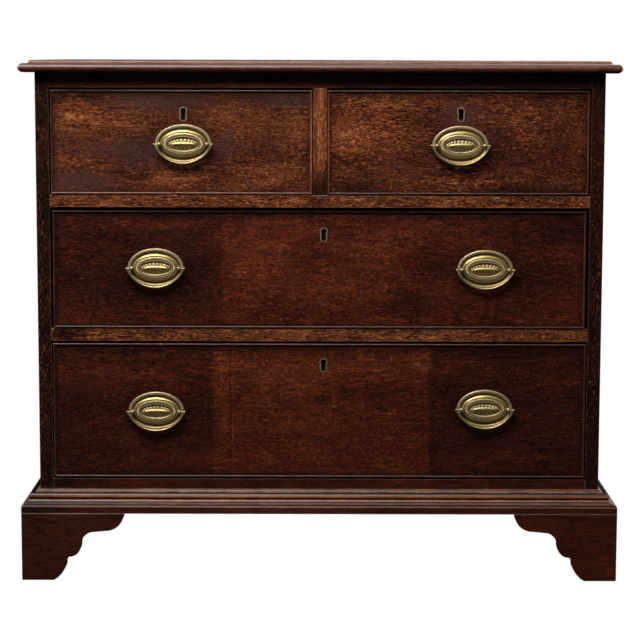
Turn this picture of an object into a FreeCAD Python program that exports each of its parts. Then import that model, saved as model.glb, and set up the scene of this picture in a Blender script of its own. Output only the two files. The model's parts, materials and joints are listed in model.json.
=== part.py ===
import FreeCAD, Part
import math
import os

import Sketcher
from FreeCAD import Rotation, Vector

# A bachelors chest: two short drawers over two long ones, in a case on
# bracket feet, with oval brass pulls and a lock on each drawer.
# Millimetres.  X runs to the right, Y to the back and Z up.  The floor is
# Z = 0, the middle of the footprint is X = 0, Y = 0, and the front faces -Y.

sizes = {
    # case
    "case_width": 874.0,
    "case_depth": 454.0,
    "foot_height": 106.0,
    "plinth_height": 50.6,
    "bottom_opening": 216.9,
    "lower_rail_thick": 19.8,
    "middle_opening": 188.3,
    "upper_rail_thick": 19.1,
    "top_opening": 164.3,
    "top_rail_thick": 23.0,
    "side_thick": 21.0,
    "rail_depth": 62.0,
    "plinth_rail_thick": 24.0,
    "tenon_length": 8.0,
    "tenon_setback": 12.0,
    "bottom_thick": 18.0,
    "muntin_width": 22.0,
    # back, dust boards and running gear
    "back_thick": 9.0,
    "back_rebate": 11.0,
    "shrinkage_gap": 0.8,
    "back_lap": 8.0,
    "lap_clear": 0.2,
    "dust_thick": 7.0,
    "runner_width": 34.0,
    "kicker_width": 26.0,
    "guide_height": 16.0,
    "stop_width": 46.0,
    "stop_depth": 16.0,
    "stop_height": 4.5,
    "stop_inset": 70.0,
    "stop_clear": 0.2,
    # top board
    "top_thick": 18.8,
    "top_overhang": 23.0,
    "nose_thick": 13.8,
    "nose_drop": 6.9,
    "nose_under": 7.0,
    "nose_over": 6.0,
    "nose_turn": 76.0,
    "field_inset": 14.5,
    "field_round": 4.0,
    # base moulding, from its lower outside edge up to the case
    "base_projection": 27.0,
    "fascia_height": 9.5,
    "arris_round": 4.8,
    "lower_step": 0.7,
    "lower_fillet": 2.4,
    "moulding_cove_width": 5.5,
    "moulding_cove_rise": 3.0,
    "middle_step": 1.0,
    "middle_fillet": 2.6,
    "torus_lean": 7.0,
    "torus_rise": 7.4,
    "torus_turn": 130.0,
    "upper_step": 2.0,
    "upper_fillet": 1.5,
    "top_cove": 3.5,
    # bracket feet, from the sole up to the case
    "bracket_thick": 23.0,
    "rear_plate_thick": 18.0,
    "sole_width": 49.8,
    "toe_width": 19.2,
    "toe_rise": 23.0,
    "toe_turn": 42.0,
    "notch_width": 4.8,
    "notch_rise": 14.1,
    "notch_turn": 50.0,
    "knee_width": 18.5,
    "knee_rise": 16.8,
    "knee_turn": 88.0,
    "scoop_width": 14.8,
    "scoop_rise": 22.1,
    "scoop_turn": 71.0,
    "ledge_length": 23.7,
    "ledge_rise": 2.3,
    "ovolo_width": 29.0,
    "block_setback": 3.0,
    "block_clear": 3.0,
    "cleat_thick": 16.0,
    "cleat_setback": 18.0,
    # drawers
    "gap_below": 1.2,
    "bottom_gap_below": 2.4,
    "gap_above": 3.4,
    "middle_gap_above": 5.2,
    "outer_gap": 2.4,
    "muntin_gap": 0.9,
    "middle_left_gap": 3.6,
    "middle_right_gap": 5.0,
    "bottom_side_gap": 1.8,
    "run_clear": 0.5,
    "front_thick": 20.0,
    "space_behind": 14.0,
    "drawer_side_thick": 10.0,
    "drawer_back_thick": 9.0,
    "side_below_front": 7.0,
    "back_below_side": 5.0,
    "panel_thick": 7.0,
    "panel_raise": 7.5,
    "panel_tongue": 4.5,
    "tail_length": 12.0,
    "tail_flare": 2.0,
    "tail_pitch": 40.0,
    "pin_width": 8.0,
    # cock beads
    "bead_thick": 3.1,
    "bead_depth": 6.5,
    "bead_proud": 2.1,
    "bead_nose": 1.3,
    # keyholes and locks
    "top_key_drop": 37.4,
    "middle_key_drop": 36.9,
    "bottom_key_drop": 34.4,
    "key_head": 4.5,
    "key_neck": 3.0,
    "key_foot": 3.9,
    "key_height": 20.2,
    "key_foot_turn": 150.0,
    "liner_wall": 1.8,
    "liner_depth": 5.0,
    "liner_proud": 0.5,
    "lock_width": 48.0,
    "lock_height": 55.0,
    "lock_depth": 11.0,
    "lock_plate": 2.0,
    "lock_flange": 7.0,
    "ward_spare": 2.0,
    "bolt_width": 22.0,
    "bolt_thick": 5.0,
    "bolt_length": 21.0,
    "bolt_clear": 0.35,
    "bolt_sunk": 0.3,
    "bolt_throw": 8.0,
    "mortise_spare": 1.2,
    # pulls: each oval plate is a row of rings, worked from its edge inwards
    "plate_width": 87.5,
    "plate_height": 61.5,
    "plate_edge": 0.9,
    "rim_round": 1.2,
    "rim_height": 2.4,
    "rim_width": 5.6,
    "groove_slope": 1.2,
    "groove_floor": 0.9,
    "groove_width": 1.2,
    "skirt_width": 4.4,
    "skirt_height": 3.4,
    "ring_slope": 2.4,
    "ring_height": 4.3,
    "ring_width": 1.8,
    "border_slope": 1.2,
    "border_height": 3.8,
    "border_width": 2.6,
    "dish_slope": 1.2,
    "dish_height": 2.4,
    "boss_slope": 6.4,
    "boss_height": 4.6,
    "post_spacing": 73.0,
    "post_radius": 2.4,
    "post_head": 3.6,
    "post_reach": 9.0,
    "post_clear": 0.1,
    "nut_radius": 6.0,
    "nut_thick": 4.0,
    "thread_spare": 2.5,
    "pin_radius": 1.2,
    "pin_clear": 0.08,
    "pin_engage": 2.0,
    "pin_end_gap": 0.5,
    "bail_span": 89.0,
    "bail_drop": 29.0,
    "bail_thick": 6.8,
    "bail_tip": 3.0,
    "finial_radius": 1.9,
    # places of the pulls and keyholes
    "top_left_pull_side": 210.0,
    "top_left_pull_rise": 78.1,
    "top_right_pull_side": 215.9,
    "top_right_pull_rise": 76.6,
    "middle_left_pull_side": 253.8,
    "middle_left_pull_rise": 94.4,
    "middle_right_pull_side": 256.0,
    "middle_right_pull_rise": 92.8,
    "bottom_left_pull_side": 254.3,
    "bottom_left_pull_rise": 106.8,
    "bottom_right_pull_side": 257.5,
    "bottom_right_pull_rise": 111.0,
    "long_key_side": 6.0,
}

back_board_count = 5
bail_section_count = 7
nut_sides = 6
quarter_turn = "90"
scroll_parts = ("sole", "toe", "notch", "knee", "scoop", "ovolo")

document = FreeCAD.newDocument("bachelors_chest")
sheet = document.addObject("Spreadsheet::Sheet", "sizes")
for row, (alias, size) in enumerate(sizes.items(), start=1):
    sheet.set(f"A{row}", alias)
    sheet.set(f"B{row}", str(size))
    sheet.setAlias(f"B{row}", alias)
document.recompute()

sub_parts = []

# Planes and heights that several pieces share, as expressions on the sheet.
case_side = "(sizes.case_width / 2)"
inner_side = "(sizes.case_width / 2 - sizes.side_thick)"
case_front = "((sizes.base_projection - sizes.case_depth) / 2)"
case_back = "((sizes.base_projection + sizes.case_depth) / 2)"
back_face = f"({case_back} - sizes.back_thick)"
rail_back = f"({case_front} + sizes.rail_depth)"
base_side = f"({case_side} + sizes.base_projection)"
base_front = f"({case_front} - sizes.base_projection)"
case_bottom = "sizes.foot_height"
plinth_top = f"({case_bottom} + sizes.plinth_height)"
lower_rail = f"({plinth_top} + sizes.bottom_opening)"
middle_floor = f"({lower_rail} + sizes.lower_rail_thick)"
upper_rail = f"({middle_floor} + sizes.middle_opening)"
top_floor = f"({upper_rail} + sizes.upper_rail_thick)"
top_rail = f"({top_floor} + sizes.top_opening)"
case_top = f"({top_rail} + sizes.top_rail_thick)"
muntin_side = "(sizes.muntin_width / 2)"
front_back = f"({case_front} + sizes.front_thick)"
box_back = f"({back_face} - sizes.space_behind)"


# ------------------------------------------------------------ shared makers

def number(expression):
    """The present value of an expression on the sheet."""
    return float(sheet.evalExpression(expression))


def place(piece, x, y, z):
    """Bind a piece's position."""
    piece.setExpression(".Placement.Base.x", x)
    piece.setExpression(".Placement.Base.y", y)
    piece.setExpression(".Placement.Base.z", z)


def block(name, left, right, front, back, bottom, top):
    """A rectangular board between six planes."""
    board = document.addObject("Part::Box", name)
    board.setExpression("Length", f"{right} - ({left})")
    board.setExpression("Width", f"{back} - ({front})")
    board.setExpression("Height", f"{top} - ({bottom})")
    place(board, left, front, bottom)
    return board


def rod(name, radius, length, start, along):
    """A round rod that starts at a point and runs along a direction."""
    bar = document.addObject("Part::Cylinder", name)
    bar.setExpression("Radius", radius)
    bar.setExpression("Height", length)
    bar.Placement.Rotation = Rotation(Vector(0, 0, 1), along)
    place(bar, *start)
    return bar


def ball(name, radius, centre):
    """A round knob."""
    knob = document.addObject("Part::Sphere", name)
    knob.setExpression("Radius", radius)
    place(knob, *centre)
    return knob


def group(name, pieces):
    """Several separate solids as one object."""
    bundle = document.addObject("Part::Compound", name)
    bundle.Links = pieces
    return bundle


def fuse(name, pieces):
    """One solid made of several."""
    whole = document.addObject("Part::MultiFuse", name)
    whole.Shapes = pieces
    return whole


def cut(name, base, tools):
    """A piece with the shapes of other pieces taken out of it."""
    rest = document.addObject("Part::Cut", name)
    rest.Base = base
    rest.Tool = tools[0] if len(tools) == 1 else group(f"{name}_waste", tools)
    return rest


def sub_part(label, piece):
    """Name a finished sub-part, so that it is written to a file."""
    piece.Label = label
    sub_parts.append(piece)
    return piece


def arc_between(start, end, radius, centre_on_left):
    """The shorter arc from start to end, its centre to the left or right."""
    chord = end - start
    reach = math.sqrt(radius ** 2 - (chord.Length / 2) ** 2)
    sideways = Vector(-chord.y, chord.x, 0).normalize()
    centre = (start + end) / 2 + sideways * (reach if centre_on_left else -reach)
    first, last = (start, end) if centre_on_left else (end, start)
    angles = [math.atan2(point.y - centre.y, point.x - centre.x) for point in (first, last)]
    return Part.ArcOfCircle(Part.Circle(centre, Vector(0, 0, 1), radius), *angles)


def arc_radius(corner, following):
    """The radius of the arc that turns through corner's angle on its way."""
    run = f"(({following[0]}) - ({corner[0]}))"
    climb = f"(({following[1]}) - ({corner[1]}))"
    return f"sqrt({run} ^ 2 + {climb} ^ 2) / (2 * sin({corner[3]} / 2))"


def draw_outline(sketch, corners):
    """Draw one closed outline.

    A corner is (x, y), and a straight line leaves it, or (x, y, bow, turn),
    and an arc leaves it that turns through an angle of less than 180 degrees
    and bows "out" of the shape or "in".
    """
    points = [Vector(number(corner[0]), number(corner[1]), 0) for corner in corners]
    next_points = points[1:] + points[:1]
    next_corners = corners[1:] + corners[:1]
    area = sum(here.x * there.y - there.x * here.y for here, there in zip(points, next_points))
    ends = []
    for corner, next_corner, start, end in zip(corners, next_corners, points, next_points):
        if len(corner) == 2:
            edge = sketch.addGeometry(Part.LineSegment(start, end), False)
            ends.append((edge, 1, 2))
            continue
        radius = arc_radius(corner, next_corner)
        centre_on_left = (corner[2] == "out") == (area > 0)
        arc = arc_between(start, end, number(radius), centre_on_left)
        edge = sketch.addGeometry(arc, False)
        ends.append((edge, 1, 2) if centre_on_left else (edge, 2, 1))
        rule = sketch.addConstraint(Sketcher.Constraint("Radius", edge, arc.Radius))
        sketch.setExpression(f"Constraints[{rule}]", radius)
    for here, there in zip(ends, ends[1:] + ends[:1]):
        joint = Sketcher.Constraint("Coincident", here[0], here[2], there[0], there[1])
        sketch.addConstraint(joint)
    for corner, point, (edge, first, _) in zip(corners, points, ends):
        for kind, text, value in (("DistanceX", corner[0], point.x), ("DistanceY", corner[1], point.y)):
            rule = sketch.addConstraint(Sketcher.Constraint(kind, -1, 1, edge, first, value))
            sketch.setExpression(f"Constraints[{rule}]", text)


def add_sketch(body, name, role, loops, offset):
    """A sketch on one of the body's origin planes, moved along its normal."""
    sketch = body.newObject("Sketcher::SketchObject", name)
    plane = next(item for item in body.Origin.OriginFeatures if item.Role == role)
    sketch.AttachmentSupport = [(plane, "")]
    sketch.MapMode = "FlatFace"
    sketch.setExpression(".AttachmentOffset.Base.z", offset)
    for loop in loops:
        draw_outline(sketch, loop)
    return sketch


def pad(body, name, role, loops, low, high):
    """Extrude outlines between two coordinates on the axis across the plane."""
    offset = f"-({high})" if role == "XZ_Plane" else low
    boss = body.newObject("PartDesign::Pad", name)
    boss.Profile = add_sketch(body, f"{name}_sketch", role, loops, offset)
    boss.setExpression("Length", f"{high} - ({low})")
    return boss


def pocket(body, name, role, loops, low, high):
    """Cut outlines out of a body between two coordinates across the plane."""
    offset = f"-({low})" if role == "XZ_Plane" else high
    hollow = body.newObject("PartDesign::Pocket", name)
    hollow.Profile = add_sketch(body, f"{name}_sketch", role, loops, offset)
    hollow.setExpression("Length", f"{high} - ({low})")
    return hollow


def extrusion(name, role, corners, low, high):
    """A body with one extruded outline."""
    body = document.addObject("PartDesign::Body", name)
    pad(body, f"{name}_pad", role, [corners], low, high)
    return body


def rectangle(left, right, bottom, top):
    """The corners of a rectangle."""
    return [(left, bottom), (right, bottom), (right, top), (left, top)]


def mirrored(chain):
    """An open chain of corners on the other side of X = 0, walked back."""
    bows = [corner[2:] for corner in chain[:-1]]
    points = [(f"-({corner[0]})", corner[1]) for corner in reversed(chain)]
    return [point + bow for point, bow in zip(points, bows[::-1] + [()])]


# --------------------------------------------------------------------- case

def nosing(beyond):
    """The moulded edge of the top, from its underside up to its raised field.

    beyond turns a distance beyond the case into a coordinate.
    """
    tip = "sizes.top_overhang"
    field = f"{tip} - sizes.field_inset"
    return [
        (beyond(f"{tip} - sizes.nose_under"), case_top, "out", "sizes.nose_turn"),
        (beyond(tip), f"{case_top} + sizes.nose_drop", "out", "sizes.nose_turn"),
        (beyond(f"{tip} - sizes.nose_over"), f"{case_top} + sizes.nose_thick"),
        (beyond(field), f"{case_top} + sizes.nose_thick"),
        (beyond(field), f"{case_top} + sizes.top_thick - sizes.field_round", "out", quarter_turn),
        (beyond(f"{field} - sizes.field_round"), f"{case_top} + sizes.top_thick"),
    ]


def make_top_board():
    """The top, moulded along its front and both ends."""
    top_side = f"({case_side} + sizes.top_overhang)"
    top_front = f"({case_front} - sizes.top_overhang)"
    front_edge = nosing(lambda distance: f"{case_front} - ({distance})")
    front_edge += [(case_back, f"{case_top} + sizes.top_thick"), (case_back, case_top)]
    right_edge = nosing(lambda distance: f"{case_side} + {distance}")
    lengthwise = extrusion("top_lengthwise", "YZ_Plane", front_edge, f"-{top_side}", top_side)
    crosswise = extrusion("top_crosswise", "XZ_Plane", right_edge + mirrored(right_edge),
                          top_front, case_back)
    board = document.addObject("Part::MultiCommon", "top_board")
    board.Shapes = [lengthwise, crosswise]
    sub_part("top_board", board)


def bolt_mortise(name, drawer):
    """The pocket in the rail above a drawer that its bolt rises into."""
    clear = "sizes.bolt_clear"
    half = f"(sizes.bolt_width / 2 + {clear})"
    depth = f"(sizes.bolt_throw - {drawer['gap_above']} + sizes.mortise_spare)"
    return block(name, f"{drawer['key_x']} - {half}", f"{drawer['key_x']} + {half}",
                 f"{bolt_front} - {clear}", f"{bolt_back} + {clear}",
                 drawer["ceiling"], f"{drawer['ceiling']} + {depth}")


def make_rail(name, bottom, top, back, drawers):
    """A rail across the front, tenoned into the sides at both ends."""
    shoulder = inner_side
    tenon = f"({inner_side} + sizes.tenon_length)"
    setback = f"{case_front} + sizes.tenon_setback"
    bar = block(f"{name}_bar", f"-{shoulder}", shoulder, case_front, back, bottom, top)
    tongue = block(f"{name}_tongue", f"-{tenon}", tenon, setback, back, bottom, top)
    rail = fuse(f"{name}_whole", [bar, tongue])
    if drawers:
        mortises = [bolt_mortise(f"{name}_mortise_{index}", drawer)
                    for index, drawer in enumerate(drawers)]
        rail = cut(name, rail, mortises)
    return sub_part(name, rail)


def make_side(name, sign, housed):
    """A side of the case, with housings for what it holds and the back."""
    planes = sorted((f"{sign} * {case_side}", f"{sign} * {inner_side}"), key=number)
    rebate = sorted((f"{sign} * {inner_side}", f"{sign} * ({inner_side} + sizes.back_rebate)"),
                    key=number)
    board = block(f"{name}_board", *planes, case_front, case_back, case_bottom, case_top)
    step = block(f"{name}_rebate", *rebate, back_face, case_back, case_bottom, case_top)
    sub_part(name, cut(name, board, [step, *housed]))


def make_back_boards():
    """Upright boards nailed into the rebates, half lapped, with gaps to swell."""
    edge = f"({inner_side} + sizes.back_rebate)"
    pitch = f"(2 * {edge} / {back_board_count})"
    middle = f"({back_face} + sizes.back_thick / 2)"
    lip_front = f"({middle} + sizes.lap_clear / 2)"
    tongue_back = f"({middle} - sizes.lap_clear / 2)"
    boards = []
    for index in range(back_board_count):
        left = f"({index} * {pitch} - {edge} + sizes.shrinkage_gap / 2)"
        right = f"({index + 1} * {pitch} - {edge} - sizes.shrinkage_gap / 2)"
        outline = [(left, back_face), (right, back_face)]
        if index < back_board_count - 1:
            outline += [(right, lip_front), (f"{right} + sizes.back_lap", lip_front),
                        (f"{right} + sizes.back_lap", case_back)]
        else:
            outline += [(right, case_back)]
        if index > 0:
            outline += [(f"{left} + sizes.back_lap", case_back),
                        (f"{left} + sizes.back_lap", tongue_back), (left, tongue_back)]
        else:
            outline += [(left, case_back)]
        boards.append(extrusion(f"back_board_{index}", "XY_Plane", outline, case_bottom,
                                case_top))
    sub_part("back_boards", group("back_boards", boards))


def make_running_gear():
    """Runners and kickers beside the drawers, and the guide between two."""
    outer = inner_side
    runner = f"({inner_side} - sizes.runner_width)"
    kicker = f"({inner_side} - sizes.kicker_width)"
    middle = f"({muntin_side} + sizes.runner_width)"
    strips = []
    levels = (("lower", lower_rail, middle_floor, runner),
              ("upper", upper_rail, top_floor, runner),
              ("kicker", top_rail, case_top, kicker))
    for name, bottom, top, inner in levels:
        strips.append(block(f"{name}_right", inner, outer, rail_back, back_face, bottom, top))
        strips.append(block(f"{name}_left", f"-{outer}", f"-{inner}", rail_back, back_face,
                            bottom, top))
    strips.append(block("middle_runner", f"-{middle}", middle, rail_back, back_face,
                        upper_rail, top_floor))
    strips.append(block("middle_guide", f"-{muntin_side}", muntin_side, rail_back, back_face,
                        top_floor, f"{top_floor} + sizes.guide_height"))
    sub_part("runners_and_kickers", group("runners_and_kickers", strips))
    return runner, middle


def make_dust_boards(runner, middle):
    """Thin boards between the runners, which part the drawers."""
    boards = []
    spans = (("lower", f"-{runner}", runner, f"({lower_rail} + sizes.lower_rail_thick / 2)"),
             ("left", f"-{runner}", f"-{middle}", f"({upper_rail} + sizes.upper_rail_thick / 2)"),
             ("right", middle, runner, f"({upper_rail} + sizes.upper_rail_thick / 2)"))
    for name, left, right, level in spans:
        boards.append(block(f"dust_{name}", left, right, rail_back, back_face,
                            f"{level} - sizes.dust_thick / 2", f"{level} + sizes.dust_thick / 2"))
    sub_part("dust_boards", group("dust_boards", boards))


def make_drawer_stops(drawers):
    """Small blocks on the rails that a drawer's front shuts against."""
    front = f"{front_back} + sizes.stop_clear"
    blocks = []
    for drawer in drawers:
        left_end = f"({drawer['left']} + sizes.stop_inset)"
        right_start = f"({drawer['right']} - sizes.stop_inset - sizes.stop_width)"
        for side, start in (("left", left_end), ("right", right_start)):
            blocks.append(block(f"{drawer['name']}_{side}_stop", start,
                                f"{start} + sizes.stop_width", front,
                                f"{front} + sizes.stop_depth", drawer["floor"],
                                f"{drawer['floor']} + sizes.stop_height"))
    sub_part("drawer_stops", group("drawer_stops", blocks))


# --------------------------------------------------------------------- base

def mitre_waste(sign, keeps, reach):
    """The corner to cut off, so that a piece meets its neighbour at 45 degrees.

    keeps says which of the two pieces is left: the "front" or the "side" one.
    """
    outer = (f"{sign} * {base_side}", base_front)
    inner = (f"{sign} * ({base_side} - {reach})", f"{base_front} + {reach}")
    third = (outer[0], inner[1]) if keeps == "front" else (inner[0], outer[1])
    return [outer, inner, third]


def moulding_profile(beyond):
    """The base moulding's section, from the case out and back up to it."""
    corners = [(beyond("0"), case_bottom)]
    reach = "sizes.base_projection"
    level = case_bottom
    corners.append((beyond(reach), level))
    steps = (("0", "sizes.fascia_height", "out", quarter_turn),
             ("sizes.arris_round", "sizes.arris_round"),
             ("sizes.lower_step", "0"),
             ("0", "sizes.lower_fillet", "in", quarter_turn),
             ("sizes.moulding_cove_width", "sizes.moulding_cove_rise"),
             ("sizes.middle_step", "0"),
             ("0", "sizes.middle_fillet", "out", "sizes.torus_turn"),
             ("sizes.torus_lean", "sizes.torus_rise"),
             ("sizes.upper_step", "0"),
             ("0", "sizes.upper_fillet", "in", quarter_turn),
             ("sizes.top_cove", "sizes.top_cove"))
    for inwards, upwards, *bow in steps:
        reach = f"{reach} - {inwards}"
        level = f"{level} + {upwards}"
        corners.append((beyond(reach), level, *bow))
    corners.append((beyond("0"), level))
    return corners


def make_base_moulding():
    """The moulding round the foot of the case, mitred at both corners."""
    reach = "sizes.base_projection"
    front_profile = moulding_profile(lambda distance: f"{case_front} - ({distance})")
    front = extrusion("moulding_front", "YZ_Plane", front_profile, f"-{base_side}", base_side)
    pocket(front, "moulding_front_mitres", "XY_Plane",
           [mitre_waste(sign, "front", reach) for sign in (-1, 1)], case_bottom, plinth_top)
    lengths = [front]
    for name, sign in (("left", -1), ("right", 1)):
        side_profile = moulding_profile(lambda distance: f"{sign} * ({case_side} + {distance})")
        side = extrusion(f"moulding_{name}", "XZ_Plane", side_profile, base_front, case_back)
        pocket(side, f"moulding_{name}_mitre", "XY_Plane",
               [mitre_waste(sign, "side", reach)], case_bottom, plinth_top)
        lengths.append(side)
    sub_part("base_moulding", group("base_moulding", lengths))


def bracket_profile(along, start):
    """A bracket foot's scrolled outline, from its outer edge inwards.

    along turns a distance from the corner into a coordinate.
    """
    corners = [(along(start), "0")]
    reach = "sizes.sole_width"
    level = "0"
    corners.append((along(reach), level, "out", "sizes.toe_turn"))
    steps = (("sizes.toe_width", "sizes.toe_rise", "in", "sizes.notch_turn"),
             ("sizes.notch_width", "sizes.notch_rise", "out", "sizes.knee_turn"),
             ("sizes.knee_width", "sizes.knee_rise", "in", "sizes.scoop_turn"),
             ("sizes.scoop_width", "sizes.scoop_rise"),
             ("sizes.ledge_length", "sizes.ledge_rise", "out", quarter_turn))
    for inwards, upwards, *bow in steps:
        reach = f"{reach} + {inwards}"
        level = f"{level} + {upwards}"
        corners.append((along(reach), level, *bow))
    corners.append((along(f"{reach} + sizes.ovolo_width"), case_bottom))
    corners.append((along(start), case_bottom))
    return corners


def make_front_foot(name, sign):
    """A front foot: two brackets mitred together at the corner."""
    thick = "sizes.bracket_thick"
    across = bracket_profile(lambda distance: f"{sign} * ({base_side} - ({distance}))", "0")
    front = extrusion(f"{name}_front", "XZ_Plane", across, base_front, f"{base_front} + {thick}")
    pocket(front, f"{name}_front_mitre", "XY_Plane", [mitre_waste(sign, "front", thick)],
           "0", case_bottom)
    lengthwise = bracket_profile(lambda distance: f"{base_front} + {distance}", "0")
    planes = sorted((f"{sign} * {base_side}", f"{sign} * ({base_side} - {thick})"), key=number)
    side = extrusion(f"{name}_side", "YZ_Plane", lengthwise, *planes)
    pocket(side, f"{name}_side_mitre", "XY_Plane", [mitre_waste(sign, "side", thick)],
           "0", case_bottom)
    sub_part(name, group(name, [front, side]))


def make_rear_feet():
    """The rear feet: a bracket at each side, and a plate behind it."""
    pieces = []
    thick = "sizes.bracket_thick"
    for name, sign in (("left", -1), ("right", 1)):
        lengthwise = bracket_profile(lambda distance: f"{case_back} - ({distance})", "0")
        planes = sorted((f"{sign} * {base_side}", f"{sign} * ({base_side} - {thick})"), key=number)
        pieces.append(extrusion(f"rear_{name}_bracket", "YZ_Plane", lengthwise, *planes))
        across = bracket_profile(lambda distance: f"{sign} * ({base_side} - ({distance}))", thick)
        pieces.append(extrusion(f"rear_{name}_plate", "XZ_Plane", across,
                                f"{case_back} - sizes.rear_plate_thick", case_back))
    sub_part("rear_feet", group("rear_feet", pieces))


def make_glue_blocks():
    """Blocks in the corners of the feet, and cleats along their brackets."""
    face = f"({base_side} - sizes.bracket_thick)"
    inner = f"({base_side} - sizes.sole_width + sizes.block_setback)"
    bracket_length = " + ".join(f"sizes.{name}_width" for name in scroll_parts)
    cleat_reach = f"({bracket_length} + sizes.ledge_length - sizes.cleat_setback)"
    cleat_end = f"({base_side} - {cleat_reach})"
    block_reach = "(sizes.sole_width - sizes.block_setback)"
    ends = (("front", base_front, "sizes.bracket_thick", 1),
            ("rear", case_back, "sizes.rear_plate_thick", -1))
    pieces = []
    for side, sign in (("left", -1), ("right", 1)):
        for end, corner, bracket, inwards in ends:
            name = f"{end}_{side}"
            plane = f"({corner} + {inwards} * {bracket})"
            turned = f"({corner} + {inwards} * {block_reach})"
            thick = f"({plane} + {inwards} * sizes.cleat_thick)"
            far = f"({corner} + {inwards} * {cleat_reach})"
            square = [*sorted((f"{sign} * {face}", f"{sign} * {inner}"), key=number),
                      *sorted((plane, turned), key=number)]
            pieces.append(block(f"{name}_block", *square, "sizes.block_clear", case_bottom))
            across = [*sorted((f"{sign} * {inner}", f"{sign} * {cleat_end}"), key=number),
                      *sorted((plane, thick), key=number)]
            lengthwise = [*sorted((f"{sign} * {face}", f"{sign} * ({face} - sizes.cleat_thick)"),
                                  key=number), *sorted((turned, far), key=number)]
            for way, planes in (("across", across), ("lengthwise", lengthwise)):
                pieces.append(block(f"{name}_{way}_cleat", *planes,
                                    f"{case_bottom} - sizes.cleat_thick", case_bottom))
    sub_part("glue_blocks", group("glue_blocks", pieces))


# ------------------------------------------------------------------ drawers

bolt_back = f"({front_back} - sizes.lock_plate - sizes.bolt_clear)"
bolt_front = f"({bolt_back} - sizes.bolt_thick)"


def drawer_plan(name, left, right, floor, ceiling, gap_below, gap_above, key_x, key_drop, pulls):
    """The planes that a drawer's pieces share."""
    return {
        "name": name,
        "left": left,
        "right": right,
        "floor": floor,
        "ceiling": ceiling,
        "gap_above": gap_above,
        "bottom": f"({floor} + {gap_below})",
        "top": f"({ceiling} - {gap_above})",
        "side_bottom": f"({floor} + sizes.run_clear)",
        "side_top": f"({ceiling} - {gap_above} - sizes.side_below_front)",
        "panel_bottom": f"({floor} + sizes.run_clear + sizes.panel_raise)",
        "panel_top": f"({floor} + sizes.run_clear + sizes.panel_raise + sizes.panel_thick)",
        "key_x": key_x,
        "key_z": f"({ceiling} - {gap_above} - {key_drop})",
        "pulls": pulls,
    }


def tails(shoulder, tip, low, high):
    """Dovetails up the end of a board, as a chain of corners."""
    count = max(1, round(number(f"({high} - {low}) / sizes.tail_pitch")))
    pitch = f"(({high} - {low}) / {count})"
    chain = []
    for index in range(count):
        middle = f"({low} + {index + 0.5} * {pitch})"
        wide = f"({pitch} - sizes.pin_width) / 2"
        narrow = f"({wide} - sizes.tail_flare)"
        chain += [(shoulder, f"{middle} - {narrow}"), (tip, f"{middle} - {wide}"),
                  (tip, f"{middle} + {wide}"), (shoulder, f"{middle} + {narrow}")]
    return chain


def make_drawer_box(drawer):
    """A drawer's sides and back, dovetailed, and the panel they hold."""
    name = drawer["name"]
    thick = "sizes.drawer_side_thick"
    panel_side = f"{thick} - sizes.panel_tongue"
    panel = block(f"{name}_panel", f"{drawer['left']} + {panel_side}",
                  f"{drawer['right']} - ({panel_side})", f"{front_back} - sizes.panel_tongue",
                  box_back, drawer["panel_bottom"], drawer["panel_top"])
    back_shoulder = f"({box_back} - sizes.drawer_back_thick)"
    back_top = f"({drawer['side_top']} - sizes.back_below_side)"
    front_tails = tails(front_back, f"({front_back} - sizes.tail_length)",
                        drawer["bottom"], drawer["side_top"])
    outline = [(front_back, drawer["side_bottom"]), (box_back, drawer["side_bottom"]),
               (box_back, drawer["panel_top"]), (back_shoulder, drawer["panel_top"]),
               *tails(back_shoulder, box_back, drawer["panel_top"], back_top),
               (back_shoulder, back_top), (box_back, back_top), (box_back, drawer["side_top"]),
               (front_back, drawer["side_top"]), *front_tails[::-1]]
    left_planes = (drawer["left"], f"{drawer['left']} + {thick}")
    right_planes = (f"{drawer['right']} - {thick}", drawer["right"])
    sides = []
    for side, planes in (("left", left_planes), ("right", right_planes)):
        board = extrusion(f"{name}_{side}_board", "YZ_Plane", outline, *planes)
        sides.append(cut(f"{name}_{side}_side", board, [panel]))
    back_board = block(f"{name}_back_board", drawer["left"], drawer["right"], back_shoulder,
                       box_back, drawer["panel_top"], back_top)
    back = cut(f"{name}_back", back_board, sides)
    sub_part(f"{name}_box", group(f"{name}_box", [*sides, back]))
    sub_part(f"{name}_panel", panel)
    return [*sides, panel]


def keyhole(name, drawer, grow, front, back):
    """A keyhole's shape, from front to back, with a round head and a flared foot."""
    x = drawer["key_x"]
    half_height = f"({grow} + sizes.key_height / 2)"
    radius = f"(sizes.key_head + {grow})"
    head = f"({drawer['key_z']} + {half_height} - {radius})"
    shoulder = f"({drawer['key_z']} - sizes.key_height / 2 + sizes.key_foot)"
    foot = f"(sizes.key_foot + {grow})"
    neck = f"(sizes.key_neck + {grow})"
    round_part = rod(f"{name}_head", radius, f"{back} - ({front})", (x, front, head),
                     Vector(0, 1, 0))
    slot = extrusion(f"{name}_slot", "XZ_Plane",
                     [(f"{x} - {foot}", shoulder, "out", "sizes.key_foot_turn"),
                      (f"{x} + {foot}", shoulder), (f"{x} + {neck}", head),
                      (f"{x} - {neck}", head)], front, back)
    return fuse(name, [round_part, slot])


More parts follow.
